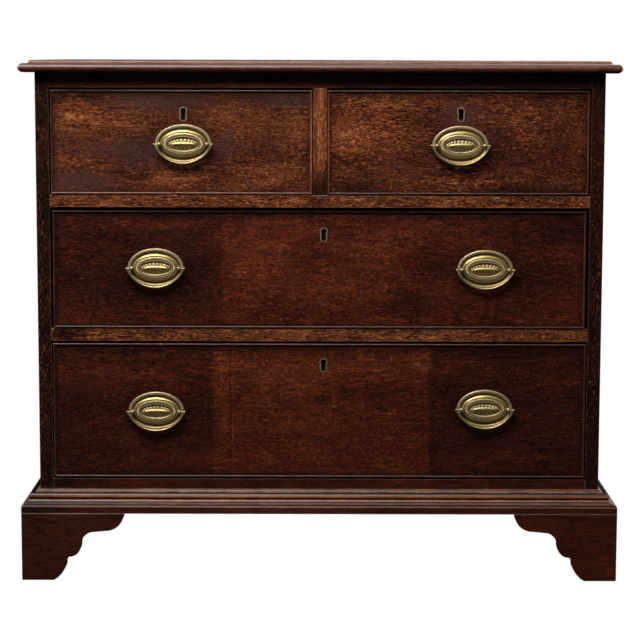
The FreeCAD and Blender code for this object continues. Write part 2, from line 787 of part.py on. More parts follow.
def make_lock(drawer):
    """A lock let into the back of a drawer's front, and the bolt it throws."""
    name = drawer["name"]
    x = drawer["key_x"]
    half = "(sizes.lock_width / 2)"
    lock_front = f"({front_back} - sizes.lock_depth)"
    bottom = f"({drawer['top']} - sizes.lock_height)"
    case = block(f"{name}_lock_case", f"{x} - {half}", f"{x} + {half}", lock_front, front_back,
                 bottom, drawer["top"])
    flange = f"({half} + sizes.lock_flange)"
    plate = block(f"{name}_lock_flange", f"{x} - {flange}", f"{x} + {flange}",
                  f"{front_back} - sizes.lock_plate", front_back,
                  f"{bottom} - sizes.lock_flange", drawer["top"])
    form = fuse(f"{name}_lock_form", [case, plate])
    clear = "sizes.bolt_clear"
    bolt_half = "(sizes.bolt_width / 2)"
    bolt_top = f"({drawer['top']} - sizes.bolt_sunk)"
    bolt = block(f"{name}_bolt", f"{x} - {bolt_half}", f"{x} + {bolt_half}", bolt_front,
                 bolt_back, f"{bolt_top} - sizes.bolt_length", bolt_top)
    channel = block(f"{name}_bolt_channel", f"{x} - {bolt_half} - {clear}",
                    f"{x} + {bolt_half} + {clear}", f"{bolt_front} - {clear}",
                    f"{bolt_back} + {clear}", f"{bolt_top} - sizes.bolt_length - {clear}",
                    f"{drawer['top']} + {clear}")
    way_in = keyhole(f"{name}_ward", drawer, "sizes.ward_spare", f"{lock_front} - {clear}",
                     f"{front_back} - sizes.lock_plate")
    sub_part(f"{name}_lock", cut(f"{name}_lock", form, [channel, way_in]))
    sub_part(f"{name}_bolt", bolt)
    return form


def make_beads(drawer):
    """The cock bead: four mitred strips let in round a drawer's front."""
    name = drawer["name"]
    thick = "sizes.bead_thick"
    left, right, bottom, top = (drawer[key] for key in ("left", "right", "bottom", "top"))
    inner_left, inner_right = f"{left} + {thick}", f"{right} - {thick}"
    inner_bottom, inner_top = f"{bottom} + {thick}", f"{top} - {thick}"
    outlines = {
        "top": [(left, top), (inner_left, inner_top), (inner_right, inner_top), (right, top)],
        "bottom": [(left, bottom), (right, bottom), (inner_right, inner_bottom),
                   (inner_left, inner_bottom)],
        "left": [(left, bottom), (inner_left, inner_bottom), (inner_left, inner_top),
                 (left, top)],
        "right": [(right, bottom), (right, top), (inner_right, inner_top),
                  (inner_right, inner_bottom)],
    }
    face = f"({case_front} - sizes.bead_proud)"
    strips = []
    for side, outline in outlines.items():
        strip = extrusion(f"{name}_{side}_bead", "XZ_Plane", outline, face,
                          f"{case_front} + sizes.bead_depth")
        bar = strip.Tip
        document.recompute([bar])
        front_edges = [f"Edge{index}" for index, edge in enumerate(bar.Shape.Edges, start=1)
                       if edge.BoundBox.YMax < number(case_front)
                       and edge.Length > 2 * number(thick)]
        nose = strip.newObject("PartDesign::Fillet", f"{name}_{side}_nose")
        nose.Base = (bar, front_edges)
        nose.setExpression("Radius", "sizes.bead_nose")
        strips.append(strip)
    sub_part(f"{name}_beads", group(f"{name}_beads", strips))


def make_front(drawer, fitted):
    """A drawer's front board, rebated for its beads and cut for its fittings."""
    name = drawer["name"]
    thick = "sizes.bead_thick"
    left, right, bottom, top = (drawer[key] for key in ("left", "right", "bottom", "top"))
    board = extrusion(f"{name}_front_board", "XZ_Plane", rectangle(left, right, bottom, top),
                      case_front, front_back)
    inner = rectangle(f"{left} + {thick}", f"{right} - {thick}", f"{bottom} + {thick}",
                      f"{top} - {thick}")
    pocket(board, f"{name}_bead_rebate", "XZ_Plane", [rectangle(left, right, bottom, top), inner],
           case_front, f"{case_front} + sizes.bead_depth")
    liner_face = f"({case_front} - sizes.liner_proud)"
    outer = keyhole(f"{name}_liner_form", drawer, "sizes.liner_wall", liner_face,
                    f"{case_front} + sizes.liner_depth")
    inner = keyhole(f"{name}_keyway", drawer, "0", liner_face, front_back)
    sub_part(f"{name}_escutcheon", cut(f"{name}_escutcheon", outer, [inner]))
    sub_part(f"{name}_front", cut(f"{name}_front", board, [outer, inner, *fitted]))


# -------------------------------------------------------------------- pulls

pull_plane = f"({case_front} - sizes.post_reach)"


def make_plate(name, x, z, stems):
    """An oval back plate of rings, each a step inside the last."""
    half_width = "sizes.plate_width / 2"
    half_height = "sizes.plate_height / 2"
    rings = (("0", "0"),
             ("0", "sizes.plate_edge"),
             ("sizes.rim_round", "sizes.rim_height"),
             ("sizes.rim_width - sizes.rim_round", "sizes.rim_height"),
             ("sizes.groove_slope", "sizes.groove_floor"),
             ("sizes.groove_width", "sizes.groove_floor"),
             ("sizes.skirt_width", "sizes.skirt_height"),
             ("sizes.ring_slope", "sizes.ring_height"),
             ("sizes.ring_width", "sizes.ring_height"),
             ("sizes.border_slope", "sizes.border_height"),
             ("sizes.border_width", "sizes.border_height"),
             ("sizes.dish_slope", "sizes.dish_height"),
             ("sizes.boss_slope", "sizes.boss_height"))
    sections = []
    for index, (inwards, height) in enumerate(rings):
        half_width = f"{half_width} - ({inwards})"
        half_height = f"{half_height} - ({inwards})"
        oval = document.addObject("Part::Ellipse", f"{name}_ring_{index}")
        oval.setExpression("MajorRadius", half_width)
        oval.setExpression("MinorRadius", half_height)
        oval.Placement.Rotation = Rotation(Vector(1, 0, 0), 90)
        oval.setExpression(".Placement.Base.x", x)
        oval.setExpression(".Placement.Base.y", f"{case_front} - {height}")
        oval.setExpression(".Placement.Base.z", z)
        sections.append(oval)
    stamping = document.addObject("Part::Loft", f"{name}_stamping")
    stamping.Sections = sections
    stamping.Solid = True
    stamping.Ruled = True
    holes = [rod(f"{name}_hole_{index}", "sizes.post_radius + sizes.post_clear",
                 "sizes.post_reach", (stem_x, pull_plane, z), Vector(0, 1, 0))
             for index, stem_x in enumerate(stems)]
    return cut(name, stamping, holes)


def make_post(name, x, z, outwards):
    """A post through the drawer's front, drilled for a pin, and its nut."""
    thread_end = f"({front_back} + sizes.nut_thick + sizes.thread_spare)"
    stem = rod(f"{name}_stem", "sizes.post_radius", f"{thread_end} - {pull_plane}",
               (x, pull_plane, z), Vector(0, 1, 0))
    head = ball(f"{name}_head", "sizes.post_head", (x, pull_plane, z))
    blank = fuse(f"{name}_blank", [stem, head])
    depth = "(sizes.pin_engage + sizes.pin_end_gap)"
    bore = rod(f"{name}_bore", "sizes.pin_radius + sizes.pin_clear",
               f"{depth} + 2 * sizes.post_head",
               (f"{x} - {outwards} * {depth}", pull_plane, z), Vector(outwards, 0, 0))
    post = cut(f"{name}_post", blank, [bore])
    prism = document.addObject("Part::Prism", f"{name}_nut_blank")
    prism.Polygon = nut_sides
    prism.setExpression("Circumradius", "sizes.nut_radius")
    prism.setExpression("Height", "sizes.nut_thick")
    prism.Placement.Rotation = Rotation(Vector(0, 0, 1), Vector(0, 1, 0))
    place(prism, x, front_back, z)
    return [post, cut(f"{name}_nut", prism, [stem])], stem


def make_bail(name, x, z):
    """A bail: a bar bowed down between two pins, thickest in the middle."""
    half = "(sizes.bail_span / 2)"
    radius = f"(({half} ^ 2 + sizes.bail_drop ^ 2) / (2 * sizes.bail_drop))"
    rise = f"({radius} - sizes.bail_drop)"
    droop = f"asin({rise} / {radius})"
    spine = document.addObject("Part::Circle", f"{name}_spine")
    spine.setExpression("Radius", radius)
    spine.setExpression("Angle1", f"180 deg + {droop}")
    spine.setExpression("Angle2", f"360 deg - {droop}")
    spine.Placement.Rotation = Rotation(Vector(1, 0, 0), 90)
    place(spine, x, pull_plane, f"{z} + {rise}")
    sections = []
    for step in range(bail_section_count):
        share = step / (bail_section_count - 1)
        angle = f"(180 deg + {droop} + {share} * (180 deg - 2 * {droop}))"
        swell = f"(sizes.bail_thick - sizes.bail_tip) * sin({share} * 180 deg)"
        disc = document.addObject("Part::Circle", f"{name}_section_{step}")
        disc.setExpression("Radius", f"(sizes.bail_tip + {swell}) / 2")
        disc.Placement.Rotation = Rotation(Vector(0, 1, 0), 1)
        disc.setExpression(".Placement.Rotation.Angle", f"360 deg - {angle}")
        place(disc, f"{x} + {radius} * cos({angle})", pull_plane,
              f"{z} + {rise} + {radius} * sin({angle})")
        sections.append(disc)
    bar = document.addObject("Part::Sweep", f"{name}_bar")
    bar.Spine = (spine, ["Edge1"])
    bar.Sections = sections
    bar.Solid = True
    bar.Frenet = True
    pieces = [bar]
    pin_length = f"{half} - sizes.post_spacing / 2 + sizes.pin_engage"
    for side, sign in (("left", -1), ("right", 1)):
        tip = (f"{x} + {sign} * {half}", pull_plane, z)
        pieces.append(ball(f"{name}_{side}_finial", "sizes.finial_radius", tip))
        pieces.append(rod(f"{name}_{side}_pin", "sizes.pin_radius", pin_length, tip,
                          Vector(-sign, 0, 0)))
    sub_part(name, fuse(name, pieces))


def make_pulls(drawer):
    """A drawer's pulls, and the stems that pass through its front."""
    name = drawer["name"]
    plates, posts, stems = [], [], []
    for pull, x, z in drawer["pulls"]:
        sides = {sign: f"({x} + {sign} * sizes.post_spacing / 2)" for sign in (-1, 1)}
        plates.append(make_plate(f"{pull}_plate", x, z, sides.values()))
        for sign, post_x in sides.items():
            side = "left" if sign < 0 else "right"
            pieces, stem = make_post(f"{pull}_{side}", post_x, z, sign)
            posts += pieces
            stems.append(stem)
        make_bail(f"{pull}_bail", x, z)
    sub_part(f"{name}_plates", group(f"{name}_plates", plates))
    sub_part(f"{name}_posts", group(f"{name}_posts", posts))
    return stems


# ----------------------------------------------------------------- assembly

def plan_drawers():
    """The four drawers, from the top left to the bottom."""
    def pull(name, sign, floor):
        side = f"({sign} * sizes.{name}_pull_side)"
        return name, side, f"({floor} + sizes.{name}_pull_rise)"

    outer = f"({inner_side} - sizes.outer_gap)"
    by_muntin = f"({muntin_side} + sizes.muntin_gap)"
    bottom_side = f"({inner_side} - sizes.bottom_side_gap)"
    top_left = pull("top_left", -1, top_floor)
    top_right = pull("top_right", 1, top_floor)
    middle = [pull("middle_left", -1, middle_floor), pull("middle_right", 1, middle_floor)]
    bottom = [pull("bottom_left", -1, plinth_top), pull("bottom_right", 1, plinth_top)]
    return [
        drawer_plan("top_left_drawer", f"-{outer}", f"-{by_muntin}", top_floor, top_rail,
                    "sizes.gap_below", "sizes.gap_above", top_left[1], "sizes.top_key_drop", [top_left]),
        drawer_plan("top_right_drawer", by_muntin, outer, top_floor, top_rail,
                    "sizes.gap_below", "sizes.gap_above", top_right[1], "sizes.top_key_drop", [top_right]),
        drawer_plan("middle_drawer", f"(sizes.middle_left_gap - {inner_side})",
                    f"({inner_side} - sizes.middle_right_gap)", middle_floor, upper_rail,
                    "sizes.gap_below", "sizes.middle_gap_above", "sizes.long_key_side",
                    "sizes.middle_key_drop", middle),
        drawer_plan("bottom_drawer", f"-{bottom_side}", bottom_side, plinth_top, lower_rail,
                    "sizes.bottom_gap_below", "sizes.gap_above", "sizes.long_key_side",
                    "sizes.bottom_key_drop", bottom),
    ]


def make_case(drawers):
    """The case: everything that the drawers slide in."""
    top_left, top_right, middle, bottom = drawers
    plinth_back = f"({case_front} + sizes.plinth_rail_thick)"
    tenon = f"({inner_side} + sizes.tenon_length)"
    housed = [
        make_rail("top_rail", top_rail, case_top, rail_back, [top_left, top_right]),
        make_rail("upper_rail", upper_rail, top_floor, rail_back, [middle]),
        make_rail("lower_rail", lower_rail, middle_floor, rail_back, [bottom]),
        make_rail("bottom_rail", case_bottom, plinth_top, plinth_back, []),
        sub_part("bottom_board", block("bottom_board", f"-{tenon}", tenon, plinth_back, back_face,
                                       f"{plinth_top} - sizes.bottom_thick", plinth_top)),
    ]
    make_side("left_side", -1, housed)
    make_side("right_side", 1, housed)
    sub_part("centre_muntin", block("centre_muntin", f"-{muntin_side}", muntin_side, case_front,
                                    rail_back, top_floor, top_rail))
    make_top_board()
    make_back_boards()
    make_dust_boards(*make_running_gear())
    make_drawer_stops(drawers)


def make_base():
    """The moulding and feet that the case stands on."""
    make_base_moulding()
    make_front_foot("front_left_foot", -1)
    make_front_foot("front_right_foot", 1)
    make_rear_feet()
    make_glue_blocks()


def make_drawer(drawer):
    """One drawer, with its lock and pulls."""
    joined = make_drawer_box(drawer)
    lock_form = make_lock(drawer)
    stems = make_pulls(drawer)
    make_beads(drawer)
    make_front(drawer, [*joined, lock_form, *stems])


def check_document():
    """Stop before anything is written, if an object has failed."""
    for item in document.Objects:
        if "Invalid" in item.State or "Error" in item.State:
            raise RuntimeError(f"{item.Name} failed: {item.State}")
    for piece in sub_parts:
        if piece.Shape.isNull() or not piece.Shape.isValid() or not piece.Shape.Solids:
            raise RuntimeError(f"{piece.Label} has no valid solid")


drawer_plans = plan_drawers()
make_case(drawer_plans)
make_base()
for plan in drawer_plans:
    make_drawer(plan)
document.recompute()
check_document()

os.makedirs("parts", exist_ok=True)
for piece in sub_parts:
    piece.Shape.exportStep(f"parts/{piece.Label}.step")
    print(piece.Label, len(piece.Shape.Solids), round(piece.Shape.Volume))
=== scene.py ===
import json
import math

import bmesh
import bpy
from mathutils import Matrix, Vector


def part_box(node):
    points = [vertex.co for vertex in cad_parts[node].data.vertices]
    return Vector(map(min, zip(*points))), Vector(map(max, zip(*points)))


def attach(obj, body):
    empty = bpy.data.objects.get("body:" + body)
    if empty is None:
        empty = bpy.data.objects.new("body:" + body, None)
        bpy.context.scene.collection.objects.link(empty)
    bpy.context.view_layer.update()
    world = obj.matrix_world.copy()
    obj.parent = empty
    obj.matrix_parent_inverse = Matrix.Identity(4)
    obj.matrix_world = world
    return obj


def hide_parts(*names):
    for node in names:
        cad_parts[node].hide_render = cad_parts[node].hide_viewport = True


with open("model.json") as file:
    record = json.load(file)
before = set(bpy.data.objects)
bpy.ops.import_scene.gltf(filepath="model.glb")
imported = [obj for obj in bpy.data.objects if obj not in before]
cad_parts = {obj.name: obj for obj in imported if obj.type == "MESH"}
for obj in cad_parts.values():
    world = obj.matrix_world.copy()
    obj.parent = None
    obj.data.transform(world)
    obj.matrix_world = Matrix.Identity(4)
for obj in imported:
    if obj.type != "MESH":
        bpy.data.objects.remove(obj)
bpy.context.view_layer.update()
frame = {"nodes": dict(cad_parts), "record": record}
nodes = frame["nodes"]
bodyOf = {node: body for body, members in frame["record"]["behaviour"]["bodies"].items()
          for node in members}
mm = 0.001
print("frame loaded:", len(nodes), "nodes")


# where things are, read from the frame

def middle(node):
    low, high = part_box(node)
    return (low + high) / 2


pullNames = {
    "top_left_drawer": ["top_left"],
    "top_right_drawer": ["top_right"],
    "middle_drawer": ["middle_left", "middle_right"],
    "bottom_drawer": ["bottom_left", "bottom_right"],
}
drawers = list(pullNames)
finialRadius = 1.9 * mm
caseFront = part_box("left_side")[0].y
pullCentre = {}
for pulls in pullNames.values():
    for pull in pulls:
        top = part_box(pull + "_bail")[1].z
        pullCentre[pull] = Vector((middle(pull + "_bail").x, caseFront, top - finialRadius))


# small helpers for shader nodes

def feed(tree, socket, value):
    if isinstance(value, bpy.types.NodeSocket):
        tree.links.new(value, socket)
    else:
        socket.default_value = value


def shade(tree, kind, inputs=None, **settings):
    made = tree.nodes.new("ShaderNode" + kind)
    for name, value in settings.items():
        setattr(made, name, value)
    for name, value in (inputs or {}).items():
        feed(tree, made.inputs[name], value)
    return made


def maths(tree, operation, *values, clamp=False):
    made = shade(tree, "Math", operation=operation, use_clamp=clamp)
    for socket, value in zip(made.inputs, values):
        feed(tree, socket, value)
    return made.outputs[0]


def vectorMaths(tree, operation, *values):
    made = shade(tree, "VectorMath", operation=operation)
    for socket, value in zip(made.inputs, values):
        feed(tree, socket, value)
    return made


def blendColour(tree, factor, under, over, way="MIX"):
    made = shade(tree, "Mix", data_type="RGBA", blend_type=way)
    for index, value in ((0, factor), (6, under), (7, over)):
        feed(tree, made.inputs[index], value)
    return made.outputs[2]


def rescale(tree, value, low, high, newLow=0.0, newHigh=1.0, smooth=False):
    made = shade(tree, "MapRange", interpolation_type="SMOOTHSTEP" if smooth else "LINEAR")
    for index, number in enumerate((value, low, high, newLow, newHigh)):
        feed(tree, made.inputs[index], number)
    return made.outputs[0]


def ramp(tree, factor, stops):
    made = shade(tree, "ValToRGB", {"Fac": factor})
    elements = made.color_ramp.elements
    while len(elements) < len(stops):
        elements.new(0.5)
    for element, (position, colour) in zip(elements, stops):
        element.position = position
        element.color = (*colour, 1)
    return made.outputs[0]


def stretched(tree, vector, scale):
    return vectorMaths(tree, "MULTIPLY", vector, scale).outputs[0]


def noise(tree, vector, scale=1.0, detail=2.0, roughness=0.5):
    made = shade(tree, "TexNoise", {"Vector": vector, "Scale": scale, "Detail": detail,
                                    "Roughness": roughness})
    return made.outputs[0]


def newGroup(name, inputs, outputs):
    group = bpy.data.node_groups.new(name, "ShaderNodeTree")
    for label, kind, value in inputs:
        socket = group.interface.new_socket(label, in_out="INPUT", socket_type="NodeSocket" + kind)
        socket.default_value = value
    for label, kind in outputs:
        group.interface.new_socket(label, in_out="OUTPUT", socket_type="NodeSocket" + kind)
    source = group.nodes.new("NodeGroupInput").outputs
    sink = group.nodes.new("NodeGroupOutput").inputs
    return group, source, sink


def useGroup(tree, group, inputs):
    made = shade(tree, "Group", node_tree=group)
    for name, value in inputs.items():
        feed(tree, made.inputs[name], value)
    return made.outputs


# node groups shared by the finishes

def buildWoodGrain():
    # grain runs along X of the vector it is given
    tree, source, sink = newGroup(
        "woodGrain",
        [("Vector", "Vector", (0, 0, 0)), ("Normal", "Vector", (0, 0, 0)),
         ("Waviness", "Float", 0.012)],
        [(name, "Float") for name in ("Figure", "Streak", "Fleck", "Cloud", "Pore", "Ends")])
    vector = source["Vector"]
    drift = shade(tree, "TexNoise", {"Vector": stretched(tree, vector, (2.2, 5, 5)), "Scale": 1.0,
                                     "Detail": 2.0}).outputs["Color"]
    centred = vectorMaths(tree, "SUBTRACT", drift, (0.5, 0.5, 0.5)).outputs[0]
    sway = shade(tree, "VectorMath", {"Vector": centred, "Scale": source["Waviness"]},
                 operation="SCALE").outputs[0]
    waved = vectorMaths(tree, "ADD", vector, sway).outputs[0]
    layers = {  # what each is drawn on, its scale along and across the grain, detail, roughness
        "Figure": (waved, (2.5, 24, 24), 4, 0.6),
        "Streak": (waved, (34, 190, 190), 3, 0.7),
        "Fleck": (waved, (170, 640, 640), 3, 0.75),
        "Cloud": (vector, (9, 15, 15), 5, 0.62),
    }
    for name, (base, scale, detail, roughness) in layers.items():
        feed(tree, sink[name], noise(tree, stretched(tree, base, scale), detail=detail,
                                     roughness=roughness))
    pores = noise(tree, stretched(tree, waved, (170, 1300, 1300)), detail=1)
    feed(tree, sink["Pore"], rescale(tree, pores, 0.50, 0.70))
    along = shade(tree, "SeparateXYZ", {"Vector": source["Normal"]}).outputs[0]
    feed(tree, sink["Ends"], maths(tree, "POWER", maths(tree, "ABSOLUTE", along), 6.0))
    return tree


def buildSoftSpot():
    # 1 in the middle of an oval patch, 0 outside it
    tree, source, sink = newGroup(
        "softSpot",
        [("Vector", "Vector", (0, 0, 0)), ("Centre", "Vector", (0, 0, 0)),
         ("Reach", "Vector", (1, 1, 1)), ("Core", "Float", 0.2), ("Amount", "Float", 1.0)],
        [("Mask", "Float")])
    offset = vectorMaths(tree, "SUBTRACT", source["Vector"], source["Centre"]).outputs[0]
    scaled = vectorMaths(tree, "DIVIDE", offset, source["Reach"]).outputs[0]
    distance = vectorMaths(tree, "LENGTH", scaled).outputs["Value"]
    feed(tree, sink["Mask"], rescale(tree, distance, 1.0, source["Core"], 0.0, source["Amount"],
                                     smooth=True))
    return tree


def buildPanelEdge():
    # 1 along the edges of a panel between two corners, 0 inside it
    tree, source, sink = newGroup(
        "panelEdge",
        [("Vector", "Vector", (0, 0, 0)), ("Low", "Vector", (0, 0, 0)),
         ("High", "Vector", (1, 1, 1)), ("Sides", "Float", 0.02), ("Top", "Float", 0.02),
         ("Bottom", "Float", 0.02)],
        [("Mask", "Float")])
    fromLow = shade(tree, "SeparateXYZ", {"Vector": vectorMaths(
        tree, "SUBTRACT", source["Vector"], source["Low"]).outputs[0]}).outputs
    fromHigh = shade(tree, "SeparateXYZ", {"Vector": vectorMaths(
        tree, "SUBTRACT", source["High"], source["Vector"]).outputs[0]}).outputs
    sideways = maths(tree, "MINIMUM", fromLow[0], fromHigh[0])
    edges = ((sideways, "Sides"), (fromHigh[2], "Top"), (fromLow[2], "Bottom"))
    bands = [rescale(tree, distance, 0.0, source[width], 1.0, 0.0, smooth=True)
             for distance, width in edges]
    feed(tree, sink["Mask"], maths(tree, "MAXIMUM", bands[0],
                                   maths(tree, "MAXIMUM", bands[1], bands[2])))
    return tree


def buildMahoganyTone():
    # from grimy near-black to a worn orange-brown
    tree, source, sink = newGroup(
        "mahoganyTone", [("Tone", "Float", 0.5), ("Redness", "Float", 0.0)],
        [("Colour", "Color")])
    colour = ramp(tree, source["Tone"], [
        (0.0, (0.0030, 0.0009, 0.0007)), (0.25, (0.0170, 0.0044, 0.0026)),
        (0.50, (0.0680, 0.0150, 0.0058)), (0.75, (0.2000, 0.0540, 0.0160)),
        (1.0, (0.4600, 0.1700, 0.0580))])
    redder = blendColour(tree, 1.0, colour, (1.08, 0.66, 0.55, 1), "MULTIPLY")
    feed(tree, sink["Colour"], blendColour(tree, source["Redness"], colour, redder))
    return tree


def buildArrisPatches():
    # finds arrises by comparing the normal with one rounded over them
    tree, source, sink = newGroup(
        "arrisPatches",
        [("Vector", "Vector", (0, 0, 0)), ("Radius", "Float", 0.002),
         ("Patchiness", "Float", 0.5)],
        [("Mask", "Float")])
    rounded = shade(tree, "Bevel", {"Radius": source["Radius"]}, samples=4).outputs[0]
    facing = shade(tree, "NewGeometry").outputs["Normal"]
    level = vectorMaths(tree, "DOT_PRODUCT", rounded, facing).outputs["Value"]
    arris = rescale(tree, level, 0.995, 0.9)
    patches = rescale(tree, noise(tree, source["Vector"], 38.0, 4.0, 0.6), 0.38, 0.62)
    kept = maths(tree, "MULTIPLY", patches, source["Patchiness"])
    whole = maths(tree, "SUBTRACT", 1.0, source["Patchiness"])
    feed(tree, sink["Mask"], maths(tree, "MULTIPLY", arris, maths(tree, "ADD", kept, whole)))
    return tree


woodGrain = buildWoodGrain()
softSpot = buildSoftSpot()
panelEdge = buildPanelEdge()
mahoganyTone = buildMahoganyTone()
arrisPatches = buildArrisPatches()

grainTurn = {"x": (0, 0, 0), "y": (0, 0, -math.pi / 2), "z": (0, math.pi / 2, 0)}


def openness(tree, reach):
    return shade(tree, "AmbientOcclusion", {"Distance": reach}, samples=6,
                 only_local=True).outputs["AO"]


def startFinish(name):
    material = bpy.data.materials.new(name)
    material.use_nodes = True
    tree = material.node_tree
    shader = tree.nodes["Principled BSDF"]
    place = shade(tree, "TexCoord").outputs
    return material, tree, shader, place


def addBump(tree, shader, height, strength, depth):
    bump = shade(tree, "Bump", {"Height": height, "Strength": strength, "Distance": depth})
    feed(tree, shader.inputs["Normal"], bump.outputs[0])


def grainOf(tree, place, grain, seed, waviness):
    # the grain pattern turned to run along one axis, and shifted so that no two boards match
    shift = (0.37 * seed, 0.61 * seed, 0.83 * seed)
    vector = shade(tree, "Mapping", {"Vector": place["Object"], "Rotation": grainTurn[grain],
                                     "Location": shift}).outputs[0]
    normal = shade(tree, "Mapping", {"Vector": place["Normal"], "Rotation": grainTurn[grain]},
                   vector_type="NORMAL").outputs[0]
    return useGroup(tree, woodGrain, {"Vector": vector, "Normal": normal, "Waviness": waviness})


def total(tree, first, *others):
    for other in others:
        first = maths(tree, "ADD", first, other)
    return first


def share(tree, value, amount, centre=0.5):
    return maths(tree, "MULTIPLY", maths(tree, "SUBTRACT", value, centre), amount)


def lowered(tree, value, mask, depth):
    return maths(tree, "SUBTRACT", value, maths(tree, "MULTIPLY", mask, depth))


def addSpots(tree, place, tone, spots):
    for (x, z), (width, height), amount in spots:
        mask = useGroup(tree, softSpot, {
            "Vector": stretched(tree, place["Object"], (1, 0, 1)), "Centre": (x, 0, z),
            "Reach": (width, 1, height), "Core": 0.1, "Amount": amount})["Mask"]
        tone = maths(tree, "ADD", tone, mask)
    return tone


def addSteps(tree, place, tone, steps):
    # the tone changes by an amount to the right of each place
    across = shade(tree, "SeparateXYZ", {"Vector": place["Object"]}).outputs[0]
    ragged = share(tree, noise(tree, place["Object"], 60.0, 4.0, 0.6), 12 * mm)
    across = maths(tree, "ADD", across, ragged)
    for x, softness, amount in steps:
        beyond = rescale(tree, across, x - softness, x + softness, 0.0, amount, smooth=True)
        tone = maths(tree, "ADD", tone, beyond)
    return tone


# each spot, line, dull or bloom on the wood: (place across, height), (half width, half height),
# change; each step: place across, half width, change of tone
mahoganyLook = {
    # the arris colour: wear on the polish, and a painted highlight where arrises and rounds would
    # catch the light
    "wornAndSheen": (0.42, 0.225, 0.145, 1),
    "bloomed": (0.062, 0.030, 0.028, 1),
    "mottle": (1.6, 0.1),  # how grime with painted shade, and bloom, follow the pattern: a share of it, and their least
    "grimeAndShadeDepth": 0.4,
    "seamReach": 5 * mm,  # how far the dark line beside a bead, dirt in the joint and painted shade, reaches over the panel
    "seamDepth": 0.25,
    "poreDepth": 0.06,
    "endDepth": 0.12,
    "hollowReach": 3 * mm,
    "hollowLevels": (0.95, 0.62),  # how open a place is where dirt and painted shade begin, and where they are full
    "patchiness": 0.6,
    "cloudDull": 0.16,
    "fleckDull": 0.12,
    "fleckHeight": 0.4,
    "reliefDepth": 0.12 * mm,
}


def mahogany(name, tone, grain="x", seed=1.0, figure=0.35, streak=0.5, fleck=1.0, cloud=0.3,
             waviness=0.012, redness=0.0, wearAndSheen=0.35, wearAndSheenRadius=1.6 * mm, spots=(), steps=(),
             blooms=(), lines=(), dulls=(), panel=None, grimeAndShade=0.5,
             grimeAndShadeWidths=(14 * mm, 22 * mm, 12 * mm), creviceDirtAndShade=0.0, gloss=0.30, relief=0.12):
    look = mahoganyLook
    material, tree, shader, place = startFinish(name)
    pattern = grainOf(tree, place, grain, seed, waviness)
    variety = total(tree, share(tree, pattern["Figure"], figure),
                    share(tree, pattern["Streak"], streak), share(tree, pattern["Fleck"], fleck),
                    share(tree, pattern["Cloud"], cloud))
    level = addSpots(tree, place, tone, spots)
    if steps:
        level = addSteps(tree, place, level, steps)
    # darker along the panel's edges, widest at the top, and in a line beside the beads: grime, and
    # painted shade under the beads and rails
    if panel:
        sides, top, bottom = grimeAndShadeWidths
        seamReach = look["seamReach"]
        cloudy = maths(tree, "MULTIPLY_ADD", pattern["Cloud"], *look["mottle"])
        edge = useGroup(tree, panelEdge, {"Vector": place["Object"], "Low": panel[0],
                                          "High": panel[1], "Sides": sides, "Top": top,
                                          "Bottom": bottom})["Mask"]
        seam = useGroup(tree, panelEdge, {"Vector": place["Object"], "Low": panel[0],
                                          "High": panel[1], "Sides": 0.7 * seamReach,
                                          "Top": seamReach, "Bottom": 0.3 * seamReach})["Mask"]
        dirtyAndShaded = maths(tree, "MULTIPLY", maths(tree, "MULTIPLY", edge, cloudy),
                      grimeAndShade * look["grimeAndShadeDepth"])
        level = maths(tree, "SUBTRACT", level, dirtyAndShaded)
        level = lowered(tree, level, seam, look["seamDepth"])
    level = maths(tree, "ADD", level, variety)
    level = lowered(tree, level, pattern["Pore"], look["poreDepth"])
    level = lowered(tree, level, pattern["Ends"], look["endDepth"])
    level = addSpots(tree, place, level, lines)
    matt = addSpots(tree, place, 0.0, dulls) if dulls else 0.0
    # darker and duller where ambient occlusion finds the surface closed in: dirt and painted shade
    # in hollows
    if creviceDirtAndShade:
        hollowDirtAndShade = rescale(tree, openness(tree, look["hollowReach"]), *look["hollowLevels"],
                         0.0, creviceDirtAndShade, smooth=True)
        level = maths(tree, "SUBTRACT", level, hollowDirtAndShade)
        matt = maths(tree, "ADD", matt, hollowDirtAndShade)
    level = maths(tree, "MAXIMUM", level, 0.0)
    colour = useGroup(tree, mahoganyTone, {"Tone": level, "Redness": redness})["Colour"]
    if blooms:
        patchy = addSpots(tree, place, 0.0, blooms)
        bloom = maths(tree, "MULTIPLY", patchy, maths(tree, "MULTIPLY_ADD", pattern["Fleck"],
                                                      *look["mottle"]), clamp=True)
        colour = blendColour(tree, bloom, colour, look["bloomed"])
    # arrises and rounds take that colour: wear, and a painted highlight
    rubbed = useGroup(tree, arrisPatches, {"Vector": place["Object"], "Radius": wearAndSheenRadius,
                                        "Patchiness": look["patchiness"]})["Mask"]
    colour = blendColour(tree, maths(tree, "MULTIPLY", rubbed, wearAndSheen), colour, look["wornAndSheen"])
    feed(tree, shader.inputs["Base Color"], colour)
    dull = maths(tree, "MULTIPLY_ADD", pattern["Cloud"], look["cloudDull"],
                 gloss - look["cloudDull"] / 2)
    feed(tree, shader.inputs["Roughness"],
         maths(tree, "ADD", dull, share(tree, pattern["Fleck"], look["fleckDull"])))
    raised = maths(tree, "MULTIPLY", pattern["Fleck"], look["fleckHeight"])
    height = maths(tree, "SUBTRACT", raised, pattern["Pore"])
    addBump(tree, shader, height, relief, look["reliefDepth"])
    if creviceDirtAndShade or dulls:
        feed(tree, shader.inputs["Specular IOR Level"],
             maths(tree, "MULTIPLY_ADD", matt, -0.5, 0.5, clamp=True))
    return material


plainLook = {
    "waviness": 0.02,
    "shares": {"Figure": 0.7, "Streak": 0.5, "Fleck": 0.25},
    "poreDepth": 0.15,
    "knotScale": 5.5,
    "knotLevels": (0.16, 0.05),  # how far from its middle a knot begins, and where it is full
    "dirtScale": 6.0,
    "dirt": 0.5,
    "handledReach": 2.5 * mm,
    "handled": 0.35,
    "stain": (0.02, 0.012, 0.008, 1),
    "gloss": 0.6,
    "streakDull": 0.2,
    "relief": (0.35, 0.2 * mm),
}


